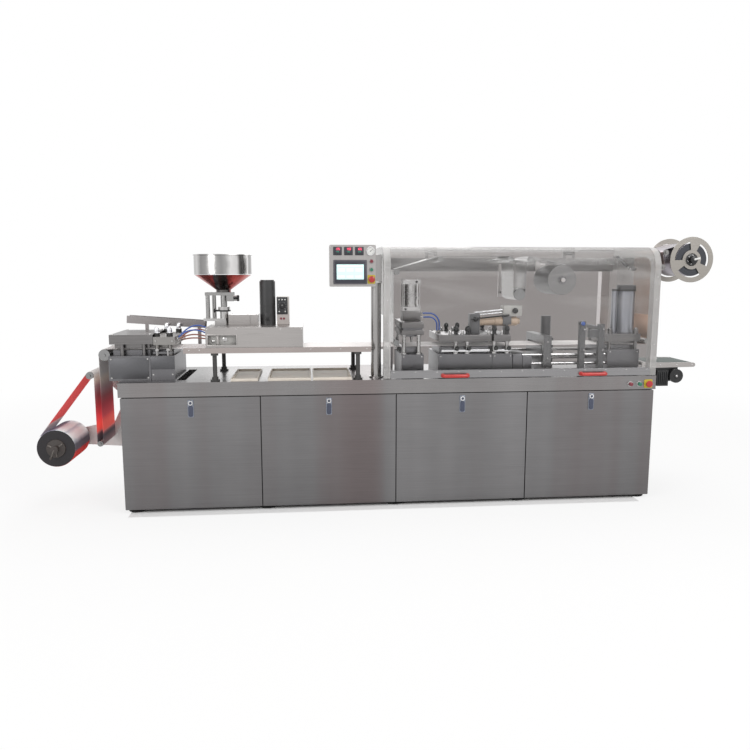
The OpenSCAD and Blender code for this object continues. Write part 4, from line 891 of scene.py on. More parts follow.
class Shape:
    """A mesh being made, in millimetres of the drawing's frame."""

    def __init__(self) -> None:
        """Start with nothing."""
        self.bm = bmesh.new()

    def _take(self, part: bmesh.types.BMesh, finish: int) -> "Shape":
        """Add a finished form.

        Args:
            part: the form, which is used up.
            finish: the index of its finish.

        Returns:
            This shape.
        """
        bmesh.ops.recalc_face_normals(part, faces=part.faces[:])
        for face in part.faces:
            face.material_index = finish
        scratch = bpy.data.meshes.new("scratch")
        part.to_mesh(scratch)
        part.free()
        self.bm.from_mesh(scratch)
        bpy.data.meshes.remove(scratch)
        return self

    def block(self, x: Span, y: Span, z: Span, soft: float = 1.0, finish: int = 0, steps: int = 2) -> "Shape":
        """Add a block with rounded edges.

        Args:
            x: its span along the machine.
            y: its span in depth.
            z: its span in height.
            soft: the radius of its edges.
            finish: the index of its finish.
            steps: the facets of each edge.

        Returns:
            This shape.
        """
        part = bmesh.new()
        bmesh.ops.create_cube(part, size=1.0)
        low, high = Vector((x[0], y[0], z[0])), Vector((x[1], y[1], z[1]))
        for vert in part.verts:
            vert.co = Vector([(vert.co[i] + 0.5) * (high[i] - low[i]) + low[i] for i in range(3)])
        if soft > 0.0:
            bmesh.ops.bevel(part, geom=part.edges[:], offset=soft, segments=steps, profile=0.5, affect="EDGES",
                            clamp_overlap=True)
        return self._take(part, finish)

    def turned(self, foot: Sequence[float], way: Sequence[float], profile: Sequence[Point2], sides: int = 40,
               finish: int = 0) -> "Shape":
        """Add a turned form.

        Args:
            foot: where its axis starts.
            way: the direction of its axis.
            profile: radius and height, from the foot up; a ring repeats its first point.
            sides: the facets round it.
            finish: the index of its finish.

        Returns:
            This shape.
        """
        part = bmesh.new()
        turn = Vector(way).to_track_quat("Z", "Y").to_matrix()
        rings: list[list[bmesh.types.BMVert]] = []
        closed = len(profile) > 2 and tuple(profile[0]) == tuple(profile[-1])
        steps = profile[:-1] if closed else profile
        for radius, height in steps:
            if radius < 1e-6:
                rings.append([part.verts.new(Vector(foot) + turn @ Vector((0.0, 0.0, height)))])
                continue
            ring = []
            for side in range(sides):
                angle = 2.0 * math.pi * side / sides
                ring.append(part.verts.new(Vector(foot) + turn @ Vector((radius * math.cos(angle),
                                                                         radius * math.sin(angle), height))))
            rings.append(ring)
        pairs = list(zip(rings, rings[1:] + rings[:1] if closed else rings[1:]))
        for low, high in pairs:
            for side in range(sides):
                after = (side + 1) % sides
                if len(low) == 1 and len(high) == 1:
                    continue
                if len(low) == 1:
                    part.faces.new((low[0], high[side], high[after]))
                elif len(high) == 1:
                    part.faces.new((low[side], high[0], low[after]))
                else:
                    part.faces.new((low[side], low[after], high[after], high[side]))
        if not closed:
            for ring in (rings[0], rings[-1]):
                if len(ring) > 2:
                    part.faces.new(ring)
        return self._take(part, finish)

    def rod(self, start: Sequence[float], end: Sequence[float], radius: float, soft: float = 0.8, sides: int = 28,
            finish: int = 0) -> "Shape":
        """Add a straight rod with eased ends.

        Args:
            start: one end of its axis.
            end: the other end.
            radius: its radius.
            soft: the ease of its ends.
            sides: the facets round it.
            finish: the index of its finish.

        Returns:
            This shape.
        """
        way = Vector(end) - Vector(start)
        length = way.length
        return self.turned(start, way, [(radius - soft, 0.0), (radius, soft), (radius, length - soft),
                                        (radius - soft, length)], sides, finish)

    def plate(self, outline: Sequence[Point2], y: Span, soft: float = 0.8, finish: int = 0) -> "Shape":
        """Add a plate with an outline in X and Z.

        Args:
            outline: its corners in order.
            y: its span in depth.
            soft: the radius of its rim.
            finish: the index of its finish.

        Returns:
            This shape.
        """
        part = bmesh.new()
        face = part.faces.new([part.verts.new((x, y[0], z)) for x, z in outline])
        grown = bmesh.ops.extrude_face_region(part, geom=[face])
        for item in grown["geom"]:
            if isinstance(item, bmesh.types.BMVert):
                item.co.y = y[1]
        if soft > 0.0:
            rim = [e for e in part.edges if abs(e.verts[0].co.y - e.verts[1].co.y) < 1e-6]
            bmesh.ops.bevel(part, geom=rim, offset=soft, segments=2, profile=0.5, affect="EDGES",
                            clamp_overlap=True)
        return self._take(part, finish)

    def plate_up(self, outline: Sequence[Point2], z: Span, soft: float = 0.8, finish: int = 0) -> "Shape":
        """Add a plate with an outline in X and Y, for pieces that are set on a face.

        Args:
            outline: its corners in order.
            z: its span in height.
            soft: the radius of its upper rim.
            finish: the index of its finish.

        Returns:
            This shape.
        """
        part = bmesh.new()
        face = part.faces.new([part.verts.new((x, y, z[0])) for x, y in outline])
        grown = bmesh.ops.extrude_face_region(part, geom=[face])
        raised = [item for item in grown["geom"] if isinstance(item, bmesh.types.BMVert)]
        for vert in raised:
            vert.co.z = z[1]
        rim = [e for e in part.edges if e.verts[0] in raised and e.verts[1] in raised]
        bmesh.ops.bevel(part, geom=rim, offset=soft, segments=3, profile=0.5, affect="EDGES", clamp_overlap=True)
        return self._take(part, finish)

    def tube(self, path: Sequence[Sequence[float]], radius: float, sides: int = 14, finish: int = 0) -> "Shape":
        """Add a round bar or hose along a path.

        Args:
            path: the points of its axis.
            radius: its radius.
            sides: the facets round it.
            finish: the index of its finish.

        Returns:
            This shape.
        """
        part = bmesh.new()
        points = [Vector(p) for p in path]
        side = Vector((0.0, 1.0, 0.0))
        rings = []
        for i, point in enumerate(points):
            way = (points[min(i + 1, len(points) - 1)] - points[max(i - 1, 0)]).normalized()
            side = (side - way * side.dot(way))
            side = side.normalized() if side.length > 1e-4 else way.orthogonal().normalized()
            up = way.cross(side)
            rings.append([part.verts.new(point + radius * (math.cos(a) * side + math.sin(a) * up))
                          for a in (2.0 * math.pi * k / sides for k in range(sides))])
        for low, high in zip(rings, rings[1:]):
            for k in range(sides):
                part.faces.new((low[k], low[(k + 1) % sides], high[(k + 1) % sides], high[k]))
        part.faces.new(rings[0])
        part.faces.new(rings[-1])
        return self._take(part, finish)

    def mesh(self, name: str, finishes: Sequence[Finish], place: Matrix = TO_ROW) -> bpy.types.Mesh:
        """Close the shape and move it to its place.

        Args:
            name: the mesh's name.
            finishes: the finishes that its indices mean.
            place: the matrix to the row frame.

        Returns:
            The mesh.
        """
        made = bpy.data.meshes.new(name)
        self.bm.to_mesh(made)
        self.bm.free()
        made.transform(place)
        for finish in finishes:
            made.materials.append(finish.material())
        made.polygons.foreach_set("use_smooth", [True] * len(made.polygons))
        made.set_sharp_from_angle(angle=math.radians(CREASE))
        return made

    def piece(self, name: str, finishes: Sequence[Finish], body: Body = Body.MACHINE,
              stands_for: Sequence[str] = ()) -> bpy.types.Object:
        """Close the shape as a piece of the machine.

        Args:
            name: the piece's name.
            finishes: the finishes that its indices mean.
            body: the body that it moves with.
            stands_for: the CAD nodes that it replaces.

        Returns:
            The piece.
        """
        return settle(placed(name, self.mesh(name, finishes)), body, stands_for)


def rounded(x: Span, z: Span, radius: float, steps: int = 5) -> list[Point2]:
    """Return the corners of a rectangle with round corners.

    Args:
        x: its span along the machine.
        z: its span in height.
        radius: the radius of its corners.
        steps: the facets of each corner.

    Returns:
        Points in order round it.
    """
    points = []
    for cx, cz, start in ((x[1] - radius, z[1] - radius, 0), (x[0] + radius, z[1] - radius, 90),
                          (x[0] + radius, z[0] + radius, 180), (x[1] - radius, z[0] + radius, 270)):
        for step in range(steps + 1):
            angle = math.radians(start + 90.0 * step / steps)
            points.append((cx + radius * math.cos(angle), cz + radius * math.sin(angle)))
    return points


@dataclass
class Ribbon:
    """A web led over rollers; each stop is x, z and the signed distance of the web from it."""

    stops: Sequence[tuple[float, float, float]]
    half: float = WEB_HALF
    thick: float = 1.0

    def line(self) -> list[tuple[float, float, float, float]]:
        """Follow the web from stop to stop.

        Returns:
            Points of x, z, the slope angle and how far along, counted in stops.
        """
        angles, legs = [], []
        for a, b in zip(self.stops, self.stops[1:]):
            gap = math.hypot(b[0] - a[0], b[1] - a[1])
            angle = math.atan2(b[1] - a[1], b[0] - a[0]) - math.asin((a[2] - b[2]) / gap)
            angles.append(angle)
            legs.append(tuple((s[0] - math.sin(angle) * s[2], s[1] + math.cos(angle) * s[2]) for s in (a, b)))
        points = []
        for i, ((p, q), angle) in enumerate(zip(legs, angles)):
            if i:
                x, z, s = self.stops[i]
                before = angles[i - 1]
                swing = angle - before
                if s > 0 and swing > 0:
                    swing -= 2.0 * math.pi
                if s < 0 and swing < 0:
                    swing += 2.0 * math.pi
                steps = max(2, int(abs(swing) / math.radians(7.0)))
                for k in range(1, steps):
                    t = before + swing * k / steps
                    points.append((x - math.sin(t) * s, z + math.cos(t) * s, t, i - 0.1 + 0.2 * k / steps))
            count = max(2, int(math.hypot(q[0] - p[0], q[1] - p[1]) / 40.0))
            for k in range(count + 1):
                f = k / count
                points.append((p[0] + (q[0] - p[0]) * f, p[1] + (q[1] - p[1]) * f, angle, i + 0.1 + 0.8 * f))
        return points

    def piece(self, name: str, finish: Finish, body: Body, stands_for: Sequence[str]) -> bpy.types.Object:
        """Make the web as a thin closed sheet that knows how far along it is.

        Args:
            name: the piece's name.
            finish: its finish.
            body: the body that it moves with.
            stands_for: the CAD nodes that it replaces.

        Returns:
            The piece.
        """
        verts, faces, along = [], [], []
        line = self.line()
        for x, z, angle, far in line:
            nx, nz = -math.sin(angle) * self.thick / 2.0, math.cos(angle) * self.thick / 2.0
            for side, y in ((1, -self.half), (1, self.half), (-1, self.half), (-1, -self.half)):
                verts.append((x + side * nx, LINE_Y + y, z + side * nz))
                along.append(far / len(self.stops))
        for i in range(len(line) - 1):
            for k in range(4):
                a, b = 4 * i + k, 4 * i + (k + 1) % 4
                faces.append((a, b, b + 4, a + 4))
        faces += [(3, 2, 1, 0), tuple(len(verts) - 4 + k for k in range(4))]
        mesh = bpy.data.meshes.new(name)
        mesh.from_pydata(verts, [], faces)
        mesh.attributes.new("along", "FLOAT", "POINT").data.foreach_set("value", along)
        mesh.transform(TO_ROW)
        bm = bmesh.new()
        bm.from_mesh(mesh)
        bmesh.ops.recalc_face_normals(bm, faces=bm.faces[:])
        bm.to_mesh(mesh)
        bm.free()
        mesh.polygons.foreach_set("use_smooth", [True] * len(mesh.polygons))
        mesh.set_sharp_from_angle(angle=math.radians(CREASE))
        mesh.materials.append(finish.material())
        return settle(placed(name, mesh), body, stands_for)


Spot = tuple[Sequence[float], Sequence[float]]


class Repeater:
    """Geometry Nodes that set one small shape on many spots."""

    NAME = "set_on_spots"

    @classmethod
    @cache
    def tree(cls) -> bpy.types.NodeTree:
        """Build the node tree on first use.

        Returns:
            The node tree.
        """
        tree = bpy.data.node_groups.new(cls.NAME, "GeometryNodeTree")
        tree.interface.new_socket("Geometry", in_out="OUTPUT", socket_type="NodeSocketGeometry")
        for label, kind in (("Geometry", "NodeSocketGeometry"), ("Shape", "NodeSocketObject"),
                            ("Turn", "NodeSocketFloat"), ("Finish", "NodeSocketMaterial")):
            tree.interface.new_socket(label, in_out="INPUT", socket_type=kind)
        b = Bench(tree)
        start, end = b.add("NodeGroupInput"), b.add("NodeGroupOutput")
        shape = b.add("GeometryNodeObjectInfo", {"Object": (start, "Shape")}, transform_space="ORIGINAL")
        facing = b.add("GeometryNodeInputNamedAttribute", {"Name": "facing"}, data_type="FLOAT_VECTOR")
        align = b.add("FunctionNodeAlignRotationToVector", {"Vector": (facing, "Attribute")}, axis="Z")
        chance = b.add("FunctionNodeRandomValue", {"Seed": 11, 3: (start, "Turn")}, data_type="FLOAT")
        spin = b.add("FunctionNodeAxisAngleToRotation", {"Angle": (chance, 1)})
        turned = b.add("FunctionNodeRotateRotation",
                       {"Rotation": (align, "Rotation"), "Rotate By": (spin, "Rotation")}, rotation_space="LOCAL")
        spread = b.add("GeometryNodeInstanceOnPoints",
                       {"Points": (start, "Geometry"), "Instance": (shape, "Geometry"),
                        "Rotation": (turned, "Rotation")})
        real = b.add("GeometryNodeRealizeInstances", {"Geometry": (spread, "Instances")})
        coat = b.add("GeometryNodeSetMaterial", {"Geometry": (real, "Geometry"), "Material": (start, "Finish")})
        b.wire(coat, "Geometry", end, "Geometry")
        return tree

    @classmethod
    def set(cls, name: str, shape: Shape, spots: Sequence[Spot], finish: Finish, body: Body = Body.MACHINE,
            stands_for: Sequence[str] = (), turn: float = 0.0) -> bpy.types.Object:
        """Set a shape on each spot and make the result one piece.

        Args:
            name: the piece's name.
            shape: the small shape about its own origin, standing on Z.
            spots: points in the drawing's frame and the way the shape faces there.
            finish: its finish.
            body: the body that it moves with.
            stands_for: the CAD nodes that it replaces.
            turn: the largest turn of a shape about its own axis.

        Returns:
            The piece.
        """
        sample = placed(name + "_sample", shape.mesh(name + "_sample", [finish], Matrix.Scale(MM, 4)))
        points = bpy.data.meshes.new(name + "_spots")
        points.from_pydata([TO_ROW @ Vector(p) for p, _ in spots], [], [])
        facing = points.attributes.new("facing", "FLOAT_VECTOR", "POINT")
        facing.data.foreach_set("vector", [v for _, way in spots for v in way])
        holder = placed(name + "_spots", points)
        tree = cls.tree()
        ids = {item.name: item.identifier for item in tree.interface.items_tree if item.in_out == "INPUT"}
        nodes = holder.modifiers.new(cls.NAME, "NODES")
        nodes.node_group = tree
        nodes[ids["Shape"]] = sample
        nodes[ids["Turn"]] = turn
        nodes[ids["Finish"]] = finish.material()
        graph = bpy.context.evaluated_depsgraph_get()
        mesh = bpy.data.meshes.new_from_object(holder.evaluated_get(graph))
        mesh.name = name
        for obj in (holder, sample):
            data = obj.data
            bpy.data.objects.remove(obj)
            bpy.data.meshes.remove(data)
        return settle(placed(name, mesh), body, stands_for)


def curve_point(marks: Sequence[Vector], f: float) -> Vector:
    """Find a point of a cubic curve.

    Args:
        marks: its four control points.
        f: how far along, from 0 to 1.

    Returns:
        The point.
    """
    weights = ((1 - f) ** 3, 3 * f * (1 - f) ** 2, 3 * f * f * (1 - f), f ** 3)
    return sum((m * w for m, w in zip(marks, weights)), Vector())


def lead_hose(name: str, path: Sequence[Vector], radius: float, finish: Finish,
              stands_for: Sequence[str] = ()) -> None:
    """Args:
        name: the piece's name.
        path: the points of its axis, in millimetres.
        radius: its radius.
        finish: its finish.
        stands_for: the CAD nodes that it replaces.
    """
    hose = Shape().tube(path, radius, 16).piece(name, [finish], stands_for=stands_for)


def socket_screw(radius: float = 5.0) -> Shape:
    """Make a socket-head screw that stands on the origin.

    Args:
        radius: the radius of its head.

    Returns:
        The shape.
    """
    r = radius
    return Shape().turned((0, 0, 0), (0, 0, 1), [(r, 0), (r, r * 0.8), (r * 0.88, r), (r * 0.52, r),
                                                 (r * 0.5, r * 0.55), (0, r * 0.5)], 12)


def pan_screw(radius: float = 4.0) -> Shape:
    """Make a low round-head screw that stands on the origin.

    Args:
        radius: the radius of its head.

    Returns:
        The shape.
    """
    r = radius
    return Shape().turned((0, 0, 0), (0, 0, 1), [(r, 0), (r * 0.95, r * 0.25), (r * 0.7, r * 0.48),
                                                 (r * 0.3, r * 0.56), (0, r * 0.57)], 10)


@dataclass
class Studio:
    """Pale floor, soft light and the camera of the picture."""

    eye: tuple[float, float, float] = (-536.4, -4564.5, 1452.3)
    yaw: float = 5.487
    pitch: float = 8.370
    lens: float = 33.694
    sensor: float = 36.0
    room: Colour = (0.27, 0.25, 0.245)
    shade_x: Span = (-1.56, 1.62)
    shade_y: Span = (-0.40, 0.42)
    # share of painted white that hides the floor's shadows outside the cabinet
    open_white: float = 0.78

    def build(self) -> None:
        """Make the camera, the world, the lamps and the floor."""
        self._camera()
        self._world()
        self._lamps()
        self._floor()
        bpy.context.scene.view_settings.view_transform = "Standard"

    def _camera(self) -> None:
        """Set the camera where the picture was taken."""
        data = bpy.data.cameras.new("picture_camera")
        data.lens, data.sensor_width = self.lens, self.sensor
        data.clip_start, data.clip_end = 0.05, 200.0
        camera = placed("picture_camera", data)
        camera.location = Vector(self.eye) * MM + SHIFT
        camera.rotation_euler = (math.radians(90.0 - self.pitch), 0.0, math.radians(-self.yaw))
        bpy.context.scene.camera = camera

    def _world(self) -> None:
        """Light from all round: the view and gloss see plain white, the view through the hood a dim room."""
        world = bpy.data.worlds.new("studio")
        world.use_nodes = True
        bpy.context.scene.world = world
        bench = Bench(world.node_tree)
        world.node_tree.nodes.clear()
        path, seen = self._seen(bench)
        clear = bench.add("ShaderNodeMath", {0: (seen, 0), 1: (path, "Is Transmission Ray")}, operation="MAXIMUM")
        soft = bench.add("ShaderNodeBackground", {"Color": (1.0, 0.99, 0.98, 1.0), "Strength": 0.5})
        white = bench.add("ShaderNodeBackground", {"Color": (1.0, 1.0, 1.0, 1.0), "Strength": 1.0})
        pick = bench.add("ShaderNodeMixShader", {0: (clear, 0), 1: (soft, 0), 2: (white, 0)})
        room = bench.add("ShaderNodeBackground", {"Color": (*self.room, 1.0), "Strength": 1.0})
        through = self._through(bench, path)
        show = bench.add("ShaderNodeMixShader", {0: (through, 0), 1: (pick, 0), 2: (room, 0)})
        bench.add("ShaderNodeOutputWorld", {0: (show, 0)})

    @staticmethod
    def _seen(bench: Bench) -> tuple[bpy.types.Node, bpy.types.Node]:
        """Tell rays of the view and of gloss from the rest.

        Args:
            bench: the node tree.

        Returns:
            The Light Path node, and a node whose output is 1 for those rays.
        """
        path = bench.add("ShaderNodeLightPath")
        seen = bench.add("ShaderNodeMath", {0: (path, "Is Camera Ray"), 1: (path, "Is Glossy Ray")},
                         operation="MAXIMUM")
        return path, seen

    @staticmethod
    def _through(bench: Bench, path: bpy.types.Node) -> bpy.types.Node:
        """Tell view rays that have passed a clear sheet from the rest.

        Args:
            bench: the node tree.
            path: its Light Path node.

        Returns:
            A node whose output is 1 for those rays.
        """
        past = bench.add("ShaderNodeMath", {1: 0.5, 0: (path, "Transparent Depth")}, operation="GREATER_THAN")
        through = bench.add("ShaderNodeMath", {0: (past, 0), 1: (path, "Is Camera Ray")}, operation="MULTIPLY")
        return through

    def _lamps(self) -> None:
        """Hang four large soft lamps."""
        for name, spot, target, size, power in (
            ("key", (3.4, -4.2, 4.4), (0.2, 0.0, 0.7), 3.2, 140.0),
            ("fill", (-4.0, -4.0, 3.0), (-0.4, 0.0, 0.8), 3.0, 90.0),
            ("top", (0.3, 0.6, 5.2), (0.2, 0.0, 0.8), 4.5, 120.0),
            ("back", (0.0, 4.6, 3.4), (0.0, 0.0, 0.8), 3.5, 60.0),
        ):
            data = bpy.data.lights.new(name, "AREA")
            data.shape, data.size, data.energy = "SQUARE", size, power
            lamp = placed(name, data)
            lamp.location = spot
            lamp.rotation_euler = (Vector(target) - Vector(spot)).to_track_quat("-Z", "Y").to_euler()

    def _open_floor(self, bench: Bench, place: bpy.types.Node) -> bpy.types.Node:
        """Paint the floor white wherever the cabinet doesn't stand over it, hiding the shadows that fall there.

        Args:
            bench: the floor's node tree.
            place: its Texture Coordinate node.

        Returns:
            A node whose output is how white the floor is at the least.
        """
        parts = bench.add("ShaderNodeSeparateXYZ", {0: (place, "Object")})
        free = None
        for axis, operation, edge in (("X", "LESS_THAN", self.shade_x[0]), ("X", "GREATER_THAN", self.shade_x[1]),
                                      ("Y", "LESS_THAN", self.shade_y[0]), ("Y", "GREATER_THAN", self.shade_y[1])):
            side = bench.add("ShaderNodeMath", {1: edge, 0: (parts, axis)}, operation=operation)
            if free is not None:
                both = bench.add("ShaderNodeMath", {0: (free, 0), 1: (side, 0)}, operation="MAXIMUM")
                side = both
            free = side
        # painted light: white laid over the floor's shadows outside the cabinet
        white = bench.add("ShaderNodeMath", {1: self.open_white, 0: (free, 0)}, operation="MULTIPLY")
        return white

    def _floor(self) -> None:
        """Lay a pale floor, shaded under the cabinet and painted white over its shadows elsewhere."""
        bm = bmesh.new()
        bmesh.ops.create_grid(bm, x_segments=1, y_segments=1, size=40.0)
        mesh = bpy.data.meshes.new("studio_floor")
        bm.to_mesh(mesh)
        bm.free()
        floor = placed("studio_floor", mesh)
        made = bpy.data.materials.new("studio_floor")
        made.use_nodes = True
        bench = Bench(made.node_tree)
        shader = made.node_tree.nodes["Principled BSDF"]
        shader.inputs["Base Color"].default_value = (0.86, 0.86, 0.86, 1.0)
        shader.inputs["Roughness"].default_value = 0.8
        shader.inputs["Specular IOR Level"].default_value = 0.1
        white = bench.add("ShaderNodeEmission", {"Color": (1.0, 1.0, 1.0, 1.0), "Strength": 1.0})
        room = bench.add("ShaderNodeEmission", {"Color": (*self.room, 1.0), "Strength": 1.0})
        place = bench.add("ShaderNodeTexCoord")
        reach = bench.add("ShaderNodeVectorMath", {0: (place, "Object")}, operation="LENGTH")
        far = bench.add("ShaderNodeMapRange", {"From Min": 2.4, "From Max": 6.0, "Value": (reach, "Value")},
                        interpolation_type="SMOOTHSTEP")
        bench.wire(self._open_floor(bench, place), 0, far, "To Min")
        path, seen = self._seen(bench)
        fade = bench.add("ShaderNodeMath", {0: (far, "Result"), 1: (seen, 0)}, operation="MULTIPLY")
        pick = bench.add("ShaderNodeMixShader", {0: (fade, 0), 1: (shader, 0), 2: (white, 0)})
        show = bench.add("ShaderNodeMixShader")
        bench.wire(self._through(bench, path), 0, show, 0)
        bench.wire(pick, 0, show, 1)
        bench.wire(room, 0, show, 2)
        bench.wire(show, 0, made.node_tree.nodes["Material Output"], "Surface")
        mesh.materials.append(made)


UP = (0.0, 0.0, 1.0)
OUT = (0.0, -1.0, 0.0)
BACK = (0.0, 1.0, 0.0)
RIGHT = (1.0, 0.0, 0.0)
LEFT = (-1.0, 0.0, 0.0)


@dataclass
class Machine:
    """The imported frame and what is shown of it."""

    nodes: dict[str, bpy.types.Object]

    def dress(self, finish: Finish, *names: str) -> None:
        """Give CAD nodes a finish.

        Args:
            finish: the finish for all of each node's faces.
            *names: the nodes.
        """
        for name in names:
            mesh = self.nodes[name].data
            mesh.materials.clear()
            mesh.materials.append(finish.material())
            LOG.info("dressed %s in %s", name, finish.name)


@dataclass
class Cabinet:
    """Door-panelled base, its feet and latches, the deck and the run buttons."""

    machine: Machine
    half_length: float = 1650.0
    half_depth: float = 348.0
    door_gap: float = 6.0
    body_top: float = 714.0
    deck_top: float = 800.0
    deck_front: float = -352.0
    button_x: tuple[float, ...] = (1491.0, 1550.0, 1609.0)
    button_z: float = 750.0

    def build(self) -> None:
        """Dress the sheet metal, then make the feet, latches and buttons."""
        self.machine.dress(DOOR_STEEL, "cabinet_panels")
        self.machine.dress(DARK_CORE, "cabinet_body")
        self.machine.dress(DECK_STEEL, "deck_table")
        self._feet()
        self._latches()
        self._buttons()

    def _feet(self) -> None:
        """Set a levelling pad under each joint of the doors."""
        pad = Shape().turned((0, 0, 0), UP, [(52, 0), (55, 2), (55, 7), (50, 9), (24, 11), (17, 12), (17, 15)], 32)
        spots = [((-self.half_length + 60.0 + 795.0 * i, y, 0.0), UP) for i in range(5) for y in (-280.0, 280.0)]
        Repeater.set("levelling_feet", pad, spots, PAD_RUBBER, stands_for=["levelling_pads"])

    def _latches(self) -> None:
        """Set a paddle latch with its lock on each door, front and rear."""
        width = (2.0 * self.half_length - 3.0 * self.door_gap) / 4.0
        centres = [-self.half_length + i * (width + self.door_gap) + width / 2.0 for i in range(4)]
        spots = [((x, side * self.half_depth, self.body_top - 73.0), (0.0, side, 0.0)) for x in centres
                 for side in (-1.0, 1.0)]
        plate = Shape()
        plate.plate_up(rounded((-18.0, 18.0), (-53.0, 53.0), 8.0), (0.0, 4.5), 1.2)
        Repeater.set("latch_plates", plate, spots, LATCH_METAL, stands_for=["door_latches"])
        grip = Shape().plate_up(rounded((-14.0, 14.0), (-49.0, 19.0), 11.0), (4.0, 9.5), 2.5)
        grip.turned((0, 35, 10.5), UP, [(7.5, 0), (7.5, 1.0), (6.5, 1.4), (0, 1.4)], 20)
        Repeater.set("latch_paddles", grip, spots, PADDLE)
        lock = Shape().turned((0, 35, 4), UP, [(15.5, 0), (15.5, 5), (14, 8), (9, 8.4), (8, 7), (0, 7)], 28)
        Repeater.set("latch_locks", lock, spots, CHROME)

    def _buttons(self) -> None:
        """Make two run buttons and the mushroom stop on its plate."""
        y = self.deck_front
        caps = Shape()
        for x in self.button_x[:2]:
            caps.turned((x, y, self.button_z), OUT,
                        [(18, 0), (18, 3), (16.5, 4.5), (14, 4.5), (13.5, 6), (0, 6)], 32, 3)
        for x, finish in zip(self.button_x[:2], (0, 1)):
            caps.turned((x, y - 5, self.button_z), OUT,
                        [(12.5, 0), (12.5, 12), (11.5, 15), (8, 17), (0, 17.5)], 32, finish)
        x = self.button_x[2]
        caps.plate(rounded((x - 27, x + 27), (self.button_z - 27, self.button_z + 27), 6.0),
                   (y - 2.5, y - 0.2), 0.6, 4)
        caps.turned((x, y - 2.5, self.button_z), OUT, [(15, 0), (15, 9), (12, 11), (12, 13)], 32, 3)
        caps.turned((x, y - 14, self.button_z), OUT,
                    [(12, 0), (20, 1), (21.5, 4), (20, 8), (13, 10), (0, 10.6)], 36, 2)
        caps.piece("run_button_row", [BUTTON_DARK, BUTTON_GREEN, BUTTON_RED, BRIGHT_STEEL, PLATE_YELLOW],
                   stands_for=["run_buttons"])


